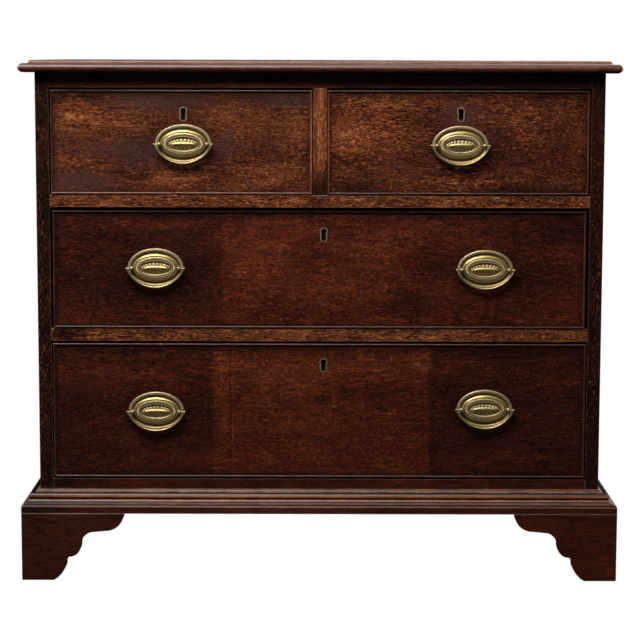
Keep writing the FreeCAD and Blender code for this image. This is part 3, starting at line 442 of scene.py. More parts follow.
def plainWood(name, stops, grain="x", seed=1.0, knots=0.0):
    look = plainLook
    material, tree, shader, place = startFinish(name)
    pattern = grainOf(tree, place, grain, seed, look["waviness"])
    level = total(tree, *[share(tree, pattern[layer], amount)
                          for layer, amount in look["shares"].items()], 0.5)
    level = lowered(tree, level, pattern["Pore"], look["poreDepth"])
    if knots:
        flattened = stretched(tree, place["Object"], (1, 1, 0.5))
        spotted = shade(tree, "TexVoronoi", {"Vector": flattened, "Scale": look["knotScale"]})
        knot = rescale(tree, spotted.outputs["Distance"], *look["knotLevels"], 0.0, knots,
                       smooth=True)
        level = maths(tree, "SUBTRACT", level, knot)
    colour = ramp(tree, level, stops)
    grubby = rescale(tree, noise(tree, place["Object"], look["dirtScale"], 5.0, 0.65), 0.45, 0.75,
                     0.0, look["dirt"])
    handled = useGroup(tree, arrisPatches, {"Vector": place["Object"],
                                         "Radius": look["handledReach"],
                                         "Patchiness": 0.7})["Mask"]
    grubby = maths(tree, "ADD", grubby, maths(tree, "MULTIPLY", handled, look["handled"]),
                   clamp=True)
    feed(tree, shader.inputs["Base Color"], blendColour(tree, grubby, colour, look["stain"]))
    feed(tree, shader.inputs["Roughness"],
         maths(tree, "MULTIPLY_ADD", pattern["Streak"], look["streakDull"], look["gloss"]))
    addBump(tree, shader, pattern["Streak"], *look["relief"])
    return material


brassLook = {
    "clean": (0.46, 0.345, 0.115, 1),
    "rubbed": (0.43, 0.32, 0.19, 1),
    "aged": (0.34, 0.24, 0.085, 1),
    "sootAndShade": (0.030, 0.014, 0.004, 1),
    "hollowReach": 1.5 * mm,
    "hollowLevels": (0.6, 0.15),
    "hollowSoot": 0.8,
    "dulled": {"blotch": 0.12, "blush": 0.14, "dirt": 0.25},
    "metal": (-0.70, 0.80),  # change under dirt, and where clean
    "specular": (-0.4, 0.5),
    "relief": (0.12, 0.1 * mm),
}


def brass(name, shine, tarnish, pale=0.0, seed=0.0, inside=0.0):
    # a mesh may carry a soot attribute for its struck hollows, which on a plate also holds painted
    # shade along the lower side, and a blush attribute for where it is rubbed pale
    look = brassLook
    material, tree, shader, place = startFinish(name)
    shifted = shade(tree, "Mapping", {"Vector": place["Object"],
                                      "Location": (seed, 2 * seed, 3 * seed)}).outputs[0]
    blotch = rescale(tree, noise(tree, shifted, 110.0, 4.0, 0.6), 0.35, 0.7)
    fine = noise(tree, shifted, 900.0, 2.0)
    sootAndShade = shade(tree, "Attribute", attribute_name="sootAndShade").outputs["Fac"]
    blush = shade(tree, "Attribute", attribute_name="blush").outputs["Fac"]
    clean = blendColour(tree, maths(tree, "ADD", blush, pale, clamp=True), look["clean"],
                        look["rubbed"])
    aged = blendColour(tree, maths(tree, "MULTIPLY", blotch, tarnish), clean, look["aged"])
    hidden = rescale(tree, openness(tree, look["hollowReach"]), *look["hollowLevels"], 0.0,
                     look["hollowSoot"])
    struck = maths(tree, "MULTIPLY", sootAndShade, rescale(tree, fine, 0.2, 0.6, 0.7, 1.0))
    # patina in hollows and struck soot, with the painted shade that the soot attribute carries
    dirt = maths(tree, "MAXIMUM", hidden, struck, clamp=True)
    # inside darkens faces turned away from the front, the walls within a keyhole: painted shade
    if inside:
        sideways = shade(tree, "SeparateXYZ", {"Vector": place["Normal"]}).outputs[1]
        dirt = maths(tree, "MAXIMUM", dirt, rescale(tree, sideways, -0.75, -0.35, 0.0, inside))
    feed(tree, shader.inputs["Base Color"], blendColour(tree, dirt, aged, look["sootAndShade"]))
    dull = shine
    for mask, amount in zip((blotch, blush, dirt), look["dulled"].values()):
        dull = maths(tree, "MULTIPLY_ADD", mask, amount, dull)
    feed(tree, shader.inputs["Roughness"], dull)
    feed(tree, shader.inputs["Metallic"], maths(tree, "MULTIPLY_ADD", dirt, *look["metal"]))
    feed(tree, shader.inputs["Specular IOR Level"],
         maths(tree, "MULTIPLY_ADD", dirt, *look["specular"]))
    addBump(tree, shader, fine, *look["relief"])
    return material


rustColour = (0.11, 0.045, 0.02, 1)


def iron(name, colour, rust):
    material, tree, shader, place = startFinish(name)
    rusty = rescale(tree, noise(tree, place["Object"], 70.0, 5.0, 0.65), 0.42, 0.7, 0.0, rust)
    feed(tree, shader.inputs["Base Color"], blendColour(tree, rusty, (*colour, 1), rustColour))
    feed(tree, shader.inputs["Metallic"], maths(tree, "SUBTRACT", 1.0, rusty))
    feed(tree, shader.inputs["Roughness"], maths(tree, "MULTIPLY_ADD", rusty, 0.4, 0.42))
    addBump(tree, shader, rusty, 0.3, 0.2 * mm)
    return material


# pieces

def toMesh(shape, name):
    mesh = bpy.data.meshes.new(name)
    shape.to_mesh(mesh)
    shape.free()
    return mesh


def growRing(shape, edges):
    # draws a new ring of edges out of the last one, still in the same place
    grown = bmesh.ops.extrude_edge_only(shape, edges=edges)["geom"]
    verts = [item for item in grown if isinstance(item, bmesh.types.BMVert)]
    ring = set(verts)
    newEdges = [item for item in grown if isinstance(item, bmesh.types.BMEdge)
                and item.verts[0] in ring and item.verts[1] in ring]
    return verts, newEdges


def inOrder(shape):
    # puts the faces that growRing made in the same order each run
    shape.verts.index_update()
    for parts in (shape.edges, shape.faces):
        ranked = sorted(parts, key=lambda part: sorted(vert.index for vert in part.verts))
        for rank, part in enumerate(ranked):
            part.index = rank
        parts.sort()


def finishPiece(name, mesh, material, node, body=None, smoothAngle=32):
    for polygon in mesh.polygons:
        polygon.use_smooth = True
    mesh.set_sharp_from_angle(angle=math.radians(smoothAngle))
    mesh.materials.clear()
    mesh.materials.append(material)
    piece = bpy.data.objects.new(name, mesh)
    bpy.context.scene.collection.objects.link(piece)
    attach(piece, body or bodyOf[node])
    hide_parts(node)
    return piece


def solidFaces(mesh):
    # the face numbers of each closed solid; its surfaces come one after the other in the mesh
    solids = []
    openEdges = set()
    faces = []
    for polygon in mesh.polygons:
        faces.append(polygon.index)
        corners = [tuple(mesh.vertices[corner].co) for corner in polygon.vertices]
        for first, second in zip(corners, corners[1:] + corners[:1]):
            openEdges ^= {frozenset((first, second))}
        if not openEdges:
            solids.append(set(faces))
            faces = []
    if faces:
        solids.append(set(faces))
    return solids


def takeBite(shape, x, z, width, depth, half=3.5 * mm):
    # knocks a short length off the front of a bead
    for step in (-0.5, -0.25, 0.25, 0.5):
        bmesh.ops.bisect_plane(shape, geom=shape.verts[:] + shape.edges[:] + shape.faces[:],
                               plane_co=(x + step * width, 0, 0), plane_no=(1, 0, 0))
    front = min(vert.co.y for vert in shape.verts)
    for vert in shape.verts:
        if abs(vert.co.x - x) < 0.3 * width and abs(vert.co.z - z) < half:
            vert.co.y = max(vert.co.y, front + depth)


def eased(node, material, arris=0.6 * mm, smoothAngle=32, suffix="_board", bites=()):
    # a copy of a node with its sharp arrises taken off
    source = nodes[node].data
    whole = bmesh.new()
    for faces in solidFaces(source):
        shape = bmesh.new()
        shape.from_mesh(source)
        others = [face for face in shape.faces if face.index not in faces]
        bmesh.ops.delete(shape, geom=others, context="FACES")
        bmesh.ops.remove_doubles(shape, verts=shape.verts, dist=0.002 * mm)
        bmesh.ops.dissolve_limit(shape, angle_limit=math.radians(0.6), verts=shape.verts,
                                 edges=shape.edges, use_dissolve_boundaries=False)
        if arris:
            sharp = [edge for edge in shape.edges if len(edge.link_faces) == 2
                     and edge.is_convex and edge.calc_face_angle(0) > math.radians(40)]
            bmesh.ops.bevel(shape, geom=sharp, offset=arris, offset_type="OFFSET", segments=2,
                            profile=0.5, affect="EDGES", clamp_overlap=True, material=-1)
        part = toMesh(shape, "part")
        whole.from_mesh(part)
        bpy.data.meshes.remove(part)
    for bite in bites:
        takeBite(whole, *bite)
    piece = finishPiece(node + suffix, toMesh(whole, node + suffix), material, node,
                        smoothAngle=smoothAngle)
    level = piece.modifiers.new("flatFaces", "WEIGHTED_NORMAL")
    level.keep_sharp = True


def panelOf(node):
    low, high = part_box(node)
    return tuple(low), tuple(high)


def aboutPulls(drawer, width, height, amount, drop=0.0):
    return [((pullCentre[pull].x, pullCentre[pull].z - drop), (width, height), amount)
            for pull in pullNames[drawer]]


# drawer fronts: each has its own figure, polish and grime, with painted shade along its edges and
# round its pulls
curvedScratch = [((0.0619 + 0.0024 * step, 0.2070 - (0.0026 + 0.00010 * step) * step),
                  (0.0020, 0.0027), 0.24) for step in range(8)]
frontLooks = {
    "top_left_drawer": {
        "tone": 0.50, "seed": 1.0, "fleck": 1.9, "streak": 0.7,
        "spots": [
            ((-0.374, 0.729), (0.060, 0.028), 0.16), ((-0.327, 0.714), (0.090, 0.028), 0.14),
            ((-0.130, 0.700), (0.080, 0.055), 0.12), ((-0.225, 0.626), (0.060, 0.018), 0.18),
            ((-0.073, 0.637), (0.090, 0.034), 0.10), ((-0.383, 0.650), (0.060, 0.014), 0.08),
            ((-0.350, 0.683), (0.085, 0.024), 0.11), ((-0.034, 0.700), (0.045, 0.070), 0.12),
            ((-0.285, 0.743), (0.070, 0.018), 0.07), ((-0.182, 0.690), (0.040, 0.060), -0.08)],
        "blooms": [
            ((-0.250, 0.742), (0.110, 0.022), 0.6), ((-0.272, 0.666), (0.070, 0.040), 0.5),
            ((-0.336, 0.672), (0.080, 0.022), 0.4), ((-0.372, 0.620), (0.100, 0.026), 0.7),
            ((-0.147, 0.675), (0.035, 0.028), 0.5), ((-0.050, 0.745), (0.090, 0.020), 0.6)]},
    "top_right_drawer": {
        "tone": 0.48, "seed": 2.0, "redness": 0.15, "fleck": 2.3, "streak": 0.7,
        "spots": [
            ((0.085, 0.705), (0.110, 0.065), 0.15), ((0.240, 0.745), (0.120, 0.020), 0.06),
            ((0.100, 0.744), (0.130, 0.022), 0.10), ((0.035, 0.685), (0.050, 0.075), 0.15),
            ((0.215, 0.623), (0.080, 0.018), 0.12), ((0.315, 0.705), (0.060, 0.050), 0.06),
            ((0.215, 0.655), (0.045, 0.016), -0.08), ((0.272, 0.685), (0.045, 0.050), -0.10),
            ((0.055, 0.612), (0.060, 0.018), -0.20), ((0.315, 0.610), (0.110, 0.016), -0.20),
            ((0.360, 0.690), (0.070, 0.060), -0.04)],
        "blooms": [((0.216, 0.725), (0.055, 0.035), 0.5)]},
    "middle_drawer": {
        "tone": 0.375, "seed": 3.0, "redness": 0.6, "fleck": 1.5, "streak": 0.6,
        "steps": [(-0.1495, 0.004, 0.10), (0.150, 0.030, -0.04)],
        "spots": [
            ((-0.300, 0.480), (0.190, 0.090), -0.07), ((-0.195, 0.490), (0.045, 0.100), -0.08),
            ((-0.280, 0.556), (0.110, 0.018), 0.10), ((0.195, 0.490), (0.110, 0.100), -0.05),
            ((-0.095, 0.485), (0.080, 0.085), 0.06), ((0.095, 0.520), (0.100, 0.060), 0.06),
            ((0.135, 0.440), (0.060, 0.028), -0.12), ((0.330, 0.500), (0.140, 0.110), -0.08),
            ((0.385, 0.550), (0.060, 0.040), -0.08)],
        "lines": [
            ((-0.3776, 0.5288), (0.0070, 0.0013), 0.40),
            ((-0.3673, 0.4714), (0.0026, 0.0020), 0.60),
            ((-0.3162, 0.4349), (0.0032, 0.0026), 0.25),
            ((-0.1162, 0.4815), (0.0032, 0.0024), 0.35),
            ((-0.2733, 0.4224), (0.0045, 0.0032), 0.12)]},
    "bottom_drawer": {
        "tone": 0.365, "seed": 4.0, "redness": 0.6, "fleck": 1.5, "streak": 0.6,
        "steps": [(-0.166, 0.004, 0.09), (0.171, 0.006, -0.14)],
        "spots": [
            ((-0.195, 0.250), (0.055, 0.080), -0.08), ((-0.040, 0.270), (0.130, 0.120), 0.05),
            ((-0.153, 0.300), (0.020, 0.100), 0.10), ((-0.250, 0.320), (0.060, 0.020), 0.06),
            ((-0.370, 0.300), (0.060, 0.040), -0.05), ((-0.150, 0.190), (0.300, 0.022), 0.06),
            ((-0.150, 0.335), (0.060, 0.018), 0.05)],
        "lines": [
            ((-0.138, 0.266), (0.0012, 0.20), -0.5), ((-0.1365, 0.266), (0.0010, 0.20), 0.2),
            ((-0.1950, 0.2640), (0.0080, 0.0012), 0.32),
            ((-0.1960, 0.2598), (0.0085, 0.0012), 0.28),
            ((0.1122, 0.3470), (0.0012, 0.0080), 0.35),
            ((-0.1369, 0.3075), (0.0022, 0.0022), 0.35), *curvedScratch]},
}
for drawer in drawers:
    node = drawer + "_front"
    look = dict(frontLooks[drawer])
    # darker round each pull and a little below it: grime, and painted shade under the pull
    look["spots"] = look["spots"] + aboutPulls(drawer, 0.070, 0.055, -0.16, 0.006)
    material = mahogany(drawer + "Mahogany", panel=panelOf(node), wearAndSheen=0.1, **look)
    eased(node, material, arris=0, suffix="_veneered")
print("drawer fronts finished")


# cock beads, and where they are chipped (place across, height, length lost, depth lost)
# the long thin lighter spots along the beads are painted highlights; the dark band along the middle
# drawer's top bead is painted shade, and the dulls take the shine off beads lying in shade
beadLooks = {
    "top_left_drawer": {
        "wearAndSheen": 1.0,
        "spots": [((-0.0135, 0.683), (0.006, 0.130), 0.42),
                  ((-0.220, 0.603), (0.600, 0.004), 0.30)],
        "dulls": [((-0.360, 0.760), (0.120, 0.010), 0.8)]},
    "top_right_drawer": {
        "wearAndSheen": 0.8,
        "spots": [((0.0135, 0.683), (0.006, 0.130), 0.36),
                  ((0.411, 0.683), (0.006, 0.130), 0.20)]},
    "middle_drawer": {
        "wearAndSheen": 0.6,
        "spots": [((0.409, 0.483), (0.006, 0.140), 0.15),
                  ((0.0, 0.575), (0.900, 0.008), -0.30)],
        "dulls": [((0.0, 0.575), (0.900, 0.008), 1.0)]},
    "bottom_drawer": {
        "wearAndSheen": 0.55,
        "spots": [((-0.2465, 0.3690), (0.0050, 0.0030), 0.45),
                  ((-0.060, 0.165), (0.600, 0.004), 0.35),
                  ((0.0, 0.3715), (0.900, 0.003), 0.15)]},
}
beadBites = {
    "top_left_drawer": [(-0.2246, 0.6045, 0.009, 2.2 * mm)],
    "bottom_drawer": [(-0.0250, 0.1670, 0.040, 0.9 * mm)],
}
for index, drawer in enumerate(drawers):
    material = mahogany(drawer + "Bead", tone=0.38, seed=11.0 + index, figure=0.1, streak=0.2,
                        fleck=0.6, wearAndSheenRadius=1.2 * mm, gloss=0.32, **beadLooks[drawer])
    eased(drawer + "_beads", material, arris=0, suffix="_strips", bites=beadBites.get(drawer, ()))


# case
caseLooks = {
    "left_side": {
        "tone": 0.22, "grain": "z", "seed": 21.0, "figure": 0.25, "fleck": 3.2, "wearAndSheen": 0.5,
        "steps": [(-0.4280, 0.010, -0.09)],
        "spots": [((-0.425, 0.690), (0.030, 0.060), 0.06),
                  ((-0.425, 0.300), (0.030, 0.120), 0.05)],
        "lines": [((-0.4175, 0.514), (0.0030, 0.0012), 0.5),
                  ((-0.4145, 0.516), (0.0015, 0.0012), 0.4)]},
    "right_side": {
        "tone": 0.18, "grain": "z", "seed": 22.0, "figure": 0.25, "fleck": 3.0, "wearAndSheen": 0.5,
        "lines": [((0.4215, 0.311), (0.0050, 0.0010), 0.5)]},
    # the top rail's low tone is partly painted shade under the top's overhang; the lighter band
    # along its lower half is painted light below that shade
    "top_rail": {
        "tone": 0.34, "seed": 23.0, "figure": 0.25, "redness": 0.5, "wearAndSheen": 0.5,
        "spots": [((-0.160, 0.765), (0.420, 0.012), 0.20),
                  ((0.300, 0.770), (0.300, 0.024), -0.08)]},
    # on the upper and lower rails the full arris colour is wear and a painted highlight along their
    # arrises
    "upper_rail": {
        "tone": 0.63, "seed": 24.0, "streak": 1.1, "fleck": 2.4, "wearAndSheen": 1.0,
        "spots": [((0.0, 0.593), (0.030, 0.020), -0.2), ((0.125, 0.593), (0.110, 0.060), -0.09),
                  ((0.340, 0.593), (0.160, 0.060), -0.05)]},
    "lower_rail": {
        "tone": 0.60, "seed": 25.0, "streak": 1.1, "fleck": 2.6, "wearAndSheen": 1.0,
        "spots": [((-0.400, 0.384), (0.050, 0.040), -0.3)]},
    "bottom_rail": {
        "tone": 0.38, "seed": 26.0, "figure": 0.25, "redness": 0.6,
        "spots": [((-0.400, 0.148), (0.080, 0.040), -0.2)]},
    "centre_muntin": {
        "tone": 0.70, "grain": "z", "seed": 27.0, "fleck": 1.8, "streak": 0.8,
        "spots": [((0.0, 0.603), (0.030, 0.050), -0.55),
                  ((0.001, 0.690), (0.009, 0.400), 0.12)]},
    # the wide band of arris colour over the top's nose is wear and a painted highlight on its round
    "top_board": {
        "tone": 0.50, "seed": 28.0, "figure": 0.3, "cloud": 0.2, "wearAndSheen": 1.0,
        "wearAndSheenRadius": 5 * mm, "redness": 0.2, "gloss": 0.36},
}
for node, look in caseLooks.items():
    eased(node, mahogany(node + "Mahogany", **look),
          arris=0 if node == "top_board" else 0.7 * mm)
print("case finished")


# base moulding and feet

def alongFront(*bands):
    # a line right across the front for each (height, half its width, change)
    return [((0.0, height), (9.0, spread), amount) for height, spread, amount in bands]


mouldingLook = {
    "tone": 0.38, "seed": 31.0, "figure": 0.2, "streak": 0.3, "fleck": 0.6, "wearAndSheen": 1.0,
    "wearAndSheenRadius": 2.6 * mm, "gloss": 0.36, "creviceDirtAndShade": 0.40,
    "spots": [((-0.120, 0.125), (0.260, 0.200), 0.08), ((-0.465, 0.125), (0.090, 0.300), -0.22)],
    # the lighter lines are painted highlights on the moulding's rounds and arrises, the darker ones
    # dirt and painted shade in its quirks, which the dulls also take the shine off
    "lines": alongFront(
        (0.1165, 0.0016, 0.35), (0.1191, 0.0013, -0.45), (0.1217, 0.0011, 0.38),
        (0.1232, 0.0008, -0.25), (0.1248, 0.0012, 0.38), (0.1272, 0.0019, -0.50),
        (0.1312, 0.0030, 0.48), (0.1361, 0.0015, -0.45), (0.1378, 0.0009, 0.38),
        (0.1402, 0.0012, -0.35)),
    "dulls": alongFront(
        (0.1191, 0.0014, 1.0), (0.1272, 0.0020, 1.0), (0.1361, 0.0015, 1.0),
        (0.1402, 0.0012, 0.8), (0.1232, 0.0008, 0.6), (0.1308, 0.0034, 0.3)),
}
eased("base_moulding", mahogany("mouldingMahogany", **mouldingLook), arris=0, suffix="_run")
footLooks = {
    "front_left_foot": {"tone": 0.39, "seed": 32.0, "figure": 0.2, "fleck": 0.7},
    "front_right_foot": {"tone": 0.41, "seed": 33.0, "figure": 0.2, "fleck": 0.7, "redness": 0.5},
    "rear_feet": {"tone": 0.35, "seed": 34.0, "figure": 0.2},
}
for node, look in footLooks.items():
    eased(node, mahogany(node + "Mahogany", **look), arris=0.8 * mm)
print("base finished")


# drawer linings, running gear, back and blocks
oakStops = [(0.0, (0.16, 0.085, 0.035)), (0.5, (0.34, 0.21, 0.10)), (1.0, (0.48, 0.33, 0.18))]
pineStops = [(0.0, (0.15, 0.075, 0.028)), (0.5, (0.36, 0.22, 0.10)), (1.0, (0.50, 0.34, 0.18))]
liningLooks = {
    "bottom_board": ("x", pineStops), "dust_boards": ("x", pineStops),
    "runners_and_kickers": ("y", oakStops), "drawer_stops": ("x", oakStops),
    "back_boards": ("z", pineStops), "glue_blocks": ("z", pineStops),
}
for drawer in drawers:
    liningLooks[drawer + "_box"] = ("y", oakStops)
    liningLooks[drawer + "_panel"] = ("x", oakStops)
for index, (node, (grain, stops)) in enumerate(liningLooks.items()):
    knots = 0.5 if stops is pineStops else 0.0
    material = plainWood(node + "Wood", stops, grain=grain, seed=41.0 + index, knots=knots)
    eased(node, material, arris=0.5 * mm)
print("linings finished")


# locks, bolts and keyhole liners
lockIron = iron("lockIron", (0.20, 0.19, 0.18), 0.7)
boltIron = iron("boltIron", (0.34, 0.33, 0.31), 0.35)
linerLooks = {"top_left_drawer": 0.3, "top_right_drawer": 0.5, "middle_drawer": 0.6,
              "bottom_drawer": 1.0}
for drawer, tarnish in linerLooks.items():
    eased(drawer + "_lock", lockIron, arris=0.3 * mm, suffix="_case")
    eased(drawer + "_bolt", boltIron, arris=0.4 * mm, suffix="_bar")
    linerBrass = brass(drawer + "Liner", shine=0.45, tarnish=tarnish, pale=1.0, inside=1.0)
    eased(drawer + "_escutcheon", linerBrass, arris=0, suffix="_liner")


# pulls
plateLook = {
    "width": 87.5 * mm,
    "height": 61.5 * mm,
    "columns": 352,  # edges round the oval
    "lean": 0.93,  # how far a ring is pulled in at the ends, for each 1 at the top
    # distance in from the edge, height above the drawer, what is struck into the ring or whether
    # its lower side gets painted shade, and how sooty and how rubbed it is
    "rings": [
        (0.0, 0.80, "", 0.3, 0.5), (0.3, 1.40, "", 0.2, 0.6), (0.9, 2.10, "", 0.0, 0.8),
        (1.7, 2.45, "reeds", 0.0, 1.0), (2.6, 2.60, "reeds", 0.0, 1.0),
        (3.4, 2.60, "reeds", 0.2, 1.0), (4.1, 2.55, "reeds", 0.0, 1.0),
        (4.8, 2.45, "reeds", 0.0, 0.9), (5.5, 1.95, "", 0.1, 0.7), (6.1, 1.35, "", 0.8, 0.4),
        (6.7, 0.95, "", 1.0, 0.0), (7.5, 0.85, "", 1.0, 0.0), (8.0, 1.00, "", 1.0, 0.0),
        (9.0, 1.80, "sootAndShade", 0.5, 0.0), (10.0, 2.60, "sootAndShade", 0.0, 0.0),
        (11.0, 3.20, "sootAndShade", 0.0, 0.0), (12.0, 3.50, "sootAndShade", 0.0, 0.0),
        (12.8, 3.20, "sootAndShade", 0.85, 0.0), (13.4, 3.30, "", 0.4, 0.1), (14.2, 3.90, "", 0.0, 0.4),
        (15.2, 4.30, "reeds", 0.0, 0.8), (16.2, 4.40, "reeds", 0.0, 0.9),
        (16.9, 4.30, "reeds", 0.0, 0.9), (17.6, 4.10, "", 0.15, 0.6), (18.2, 3.90, "", 0.6, 0.4),
        (18.8, 4.10, "", 0.1, 0.7), (19.5, 4.20, "", 0.0, 0.9), (20.1, 4.00, "", 0.0, 0.8),
        (20.8, 3.30, "", 0.5, 0.4), (21.4, 2.60, "", 1.0, 0.0), (21.8, 2.50, "", 1.0, 0.0),
        (22.4, 2.70, "flutes", 0.5, 0.5), (23.2, 3.00, "flutes", 0.0, 0.8),
        (24.2, 3.40, "flutes", 0.0, 0.9), (25.4, 3.80, "flutes", 0.0, 0.8),
        (26.4, 4.00, "flutes", 0.1, 0.5), (27.2, 4.00, "", 0.3, 0.1), (27.8, 4.30, "", 0.15, 0.0),
        (28.6, 4.90, "", 0.0, 0.0), (29.4, 5.10, "", 0.0, 0.0), (30.0, 5.20, "", 0.0, 0.0)],
    "reedPeriod": 4,  # columns to a reed
    "reedDepth": 0.35 * mm,
    "flutePeriod": 16,
    "fluteDepth": 0.75 * mm,
    "fluteSoot": 0.8,
    # painted shade on the lower side of the skirt, darkest at the bottom
    "lowShade": 0.75,
}


def makePlate(name, centre):
    look = plateLook
    shape = bmesh.new()
    bmesh.ops.create_circle(shape, cap_ends=True, segments=look["columns"], radius=1.0)
    sootAndShadeLayer = shape.verts.layers.float.new("sootAndShade")
    rubbed = shape.verts.layers.float.new("blush")
    reach = (look["width"] / 2, look["height"] / 2)
    outer = reach
    bmesh.ops.rotate(shape, verts=shape.verts, matrix=Matrix.Rotation(math.pi / 2, 3, "X"))
    bmesh.ops.scale(shape, verts=shape.verts, vec=(reach[0], 1, reach[1]))
    edges = list(shape.edges)
    for inset, height, pattern, sootAndShade, blush in look["rings"]:
        verts, edges = growRing(shape, edges)
        newReach = (outer[0] - inset * mm * look["lean"], outer[1] - inset * mm)
        bmesh.ops.scale(shape, verts=verts, vec=(newReach[0] / reach[0], 1, newReach[1] / reach[1]))
        reach = newReach
        for vert in verts:
            vert.co.y = -height * mm
            vert[sootAndShadeLayer] = sootAndShade
            vert[rubbed] = blush
        if pattern:
            strike(verts, pattern, reach, sootAndShadeLayer)
    bmesh.ops.contextual_create(shape, geom=edges)
    bmesh.ops.recalc_face_normals(shape, faces=shape.faces)
    bmesh.ops.translate(shape, verts=shape.verts, vec=centre)
    inOrder(shape)
    return toMesh(shape, name)


def strike(verts, pattern, reach, sootAndShadeLayer):
    # presses reeds or flutes into one ring, or paints shade along its lower side
    look = plateLook
    reeds = pattern == "reeds"
    period = look["reedPeriod"] if reeds else look["flutePeriod"]
    for vert in verts:
        # painted shade, darker towards the bottom of the plate
        if pattern == "sootAndShade":
            low = look["lowShade"] * -vert.co.z / reach[1]
            vert[sootAndShadeLayer] = max(vert[sootAndShadeLayer], min(1.0, low))
            continue
        turn = math.atan2(vert.co.z / reach[1], vert.co.x / reach[0])
        step = turn / (2 * math.pi) * look["columns"]
        wave = 0.5 - 0.5 * math.cos(2 * math.pi * step / period)
        if reeds:
            vert.co.y += look["reedDepth"] * wave
        else:
            vert.co.y += look["fluteDepth"] * wave ** 2
            vert[sootAndShadeLayer] = max(vert[sootAndShadeLayer], look["fluteSoot"] * wave ** 4)


bailLook = {
    "thick": 6.8 * mm,
    "tip": 3.0 * mm,
    "pin": 1.2 * mm,
    "pinLength": 9.9 * mm,
    "steps": 72,  # rings along the bar
    "sides": 28,
}


def makeBail(name, pull, node):
    # a bar bowed down between two pins, thickest in the middle
    look = bailLook
    low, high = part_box(node)
    centre = Vector((pullCentre[pull].x, (low.y + high.y) / 2, pullCentre[pull].z))
    half = (high.x - low.x) / 2 - finialRadius
    drop = centre.z - low.z - look["thick"] / 2
    radius = (half ** 2 + drop ** 2) / (2 * drop)
    hub = Vector((0, 0, radius - drop))
    droop = math.asin((radius - drop) / radius)
    sweep = math.pi - 2 * droop
    shape = bmesh.new()
    made = bmesh.ops.create_circle(shape, cap_ends=True, segments=look["sides"],
                                   radius=look["tip"] / 2)
    verts = made["verts"]
    bmesh.ops.rotate(shape, verts=verts, matrix=Matrix.Rotation(droop, 3, "Y"))
    bmesh.ops.translate(shape, verts=verts, vec=(-half, 0, 0))
    edges = list(shape.edges)
    size = look["tip"]
    for step in range(1, look["steps"] + 1):
        verts, edges = growRing(shape, edges)
        bmesh.ops.rotate(shape, verts=verts, cent=hub,
                         matrix=Matrix.Rotation(-sweep / look["steps"], 3, "Y"))
        swelling = math.sin(math.pi * step / look["steps"])
        newSize = look["tip"] + (look["thick"] - look["tip"]) * swelling
        middlePoint = sum((vert.co for vert in verts), Vector()) / len(verts)
        for vert in verts:
            vert.co = middlePoint + (vert.co - middlePoint) * newSize / size
        size = newSize
    bmesh.ops.contextual_create(shape, geom=edges)
    for side in (-1, 1):
        bmesh.ops.create_uvsphere(shape, u_segments=20, v_segments=14, radius=finialRadius,
                                  matrix=Matrix.Translation((side * half, 0, 0)))
        place = Matrix.Translation((side * (half - look["pinLength"] / 2), 0, 0))
        bmesh.ops.create_cone(shape, cap_ends=True, segments=16, radius1=look["pin"],
                              radius2=look["pin"], depth=look["pinLength"],
                              matrix=place @ Matrix.Rotation(math.pi / 2, 4, "Y"))
    bmesh.ops.recalc_face_normals(shape, faces=shape.faces)
    bmesh.ops.translate(shape, verts=shape.verts, vec=centre)
    inOrder(shape)
    return toMesh(shape, name)


for index, (drawer, pulls) in enumerate(pullNames.items()):
    for pull in pulls:
        seed = float(len(pull) + index)
        plateBrass = brass(pull + "PlateBrass", shine=0.30, tarnish=0.45, seed=seed)
        finishPiece(pull + "_plate", makePlate(pull + "_plate", pullCentre[pull]), plateBrass,
                    drawer + "_plates", body=drawer, smoothAngle=60)
        bailBrass = brass(pull + "BailBrass", shine=0.30, tarnish=0.35, pale=0.35, seed=seed + 5)
        finishPiece(pull + "_bar", makeBail(pull + "_bar", pull, pull + "_bail"), bailBrass,
                    pull + "_bail", smoothAngle=50)
postBrass = brass("postBrass", shine=0.38, tarnish=0.2, pale=1.0, seed=9.0)
for drawer in drawers:
    eased(drawer + "_posts", postBrass, arris=0, smoothAngle=40, suffix="_turned")
print("pulls finished")


# floor, lights and camera
floorLook = {"size": 9.0, "glow": 0.985, "colour": (0.02, 0.02, 0.02, 1)}


def makeFloor():
    # a pale sweep: the floor, turned up far behind the chest
    look = floorLook
    shape = bmesh.new()
    bmesh.ops.create_grid(shape, x_segments=1, y_segments=1, size=look["size"])
    far = [edge for edge in shape.edges if all(vert.co.y > 0 for vert in edge.verts)]
    raised = growRing(shape, far)[0]
    bmesh.ops.translate(shape, verts=raised, vec=(0, 0, look["size"]))
    mesh = toMesh(shape, "floor")
    floor = bpy.data.objects.new("floor", mesh)
    bpy.context.scene.collection.objects.link(floor)
    material = bpy.data.materials.new("paleFloor")
    material.use_nodes = True
    tree = material.node_tree
    tree.nodes.remove(tree.nodes["Principled BSDF"])
    seen = shade(tree, "LightPath").outputs["Is Camera Ray"]
    strength = maths(tree, "MULTIPLY", seen, look["glow"])
    glow = shade(tree, "Emission", {"Color": (1, 1, 1, 1), "Strength": strength})
    matt = shade(tree, "BsdfDiffuse", {"Color": look["colour"]})
    both = shade(tree, "AddShader")
    tree.links.new(glow.outputs[0], both.inputs[0])
    tree.links.new(matt.outputs[0], both.inputs[1])
    tree.links.new(both.outputs[0], tree.nodes["Material Output"].inputs["Surface"])
    mesh.materials.append(material)


worldLook = {"upward": 0.12, "behind": 0.85, "least": 0.012}


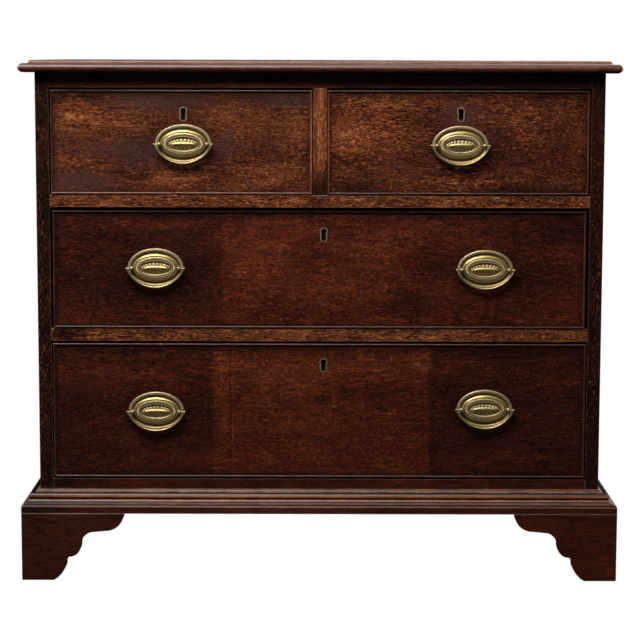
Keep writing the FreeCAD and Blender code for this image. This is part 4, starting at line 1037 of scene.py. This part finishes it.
def makeWorld():
    look = worldLook
    world = bpy.data.worlds.new("studio")
    bpy.context.scene.world = world
    world.use_nodes = True
    tree = world.node_tree
    aim = shade(tree, "TexCoord").outputs["Generated"]
    direction = shade(tree, "SeparateXYZ", {"Vector": aim}).outputs
    upward = rescale(tree, direction[2], 0.0, 1.0, 0.0, look["upward"])
    behind = rescale(tree, direction[1], 0.0, 1.0, 0.0, look["behind"])
    seen = shade(tree, "LightPath").outputs["Is Camera Ray"]
    dim = total(tree, upward, behind, look["least"])
    strength = maths(tree, "MAXIMUM", dim, seen)
    back = tree.nodes["Background"]
    back.inputs["Color"].default_value = (1, 1, 1, 1)
    tree.links.new(strength, back.inputs["Strength"])


def addLight(name, place, target, size, power, colour=(1, 1, 1)):
    lamp = bpy.data.lights.new(name, "AREA")
    lamp.shape = "RECTANGLE"
    lamp.size, lamp.size_y = size
    lamp.energy = power
    lamp.color = colour
    light = bpy.data.objects.new(name, lamp)
    light.location = place
    light.rotation_euler = (Vector(target) - Vector(place)).to_track_quat("-Z", "Y").to_euler()
    bpy.context.scene.collection.objects.link(light)


lights = {
    "overhead": {"place": (-0.70, -1.65, 2.60), "target": (0, -0.2, 0.5), "size": (2.0, 1.05),
                 "power": 92.0},
    "sky": {"place": (0, -0.60, 3.0), "target": (0, -0.59, 0.5), "size": (3.0, 1.4),
            "power": 15.0},
    "leftFill": {"place": (-2.6, -1.6, 1.5), "target": (0, -0.1, 0.5), "size": (1.2, 1.6),
                 "power": 3.0},
    "rearFill": {"place": (1.2, 3.0, 2.2), "target": (0, 0.2, 0.4), "size": (2.0, 1.6),
                 "power": 40.0},
}
cameraLook = {"place": (-0.0004, -3.4339, 0.8137), "pitch": 7.193, "roll": -0.135, "lens": 117.7,
              "sensor": 36.0}


def makeCamera():
    lens = bpy.data.cameras.new("camera")
    lens.lens = cameraLook["lens"]
    lens.sensor_width = cameraLook["sensor"]
    lens.sensor_fit = "HORIZONTAL"
    camera = bpy.data.objects.new("camera", lens)
    camera.location = cameraLook["place"]
    camera.rotation_euler = (math.radians(90 - cameraLook["pitch"]),
                             math.radians(cameraLook["roll"]), 0)
    bpy.context.scene.collection.objects.link(camera)
    bpy.context.scene.camera = camera


makeFloor()
makeWorld()
for name, light in lights.items():
    addLight(name, **light)
makeCamera()
bpy.context.scene.view_settings.view_transform = "Standard"
print("studio ready")
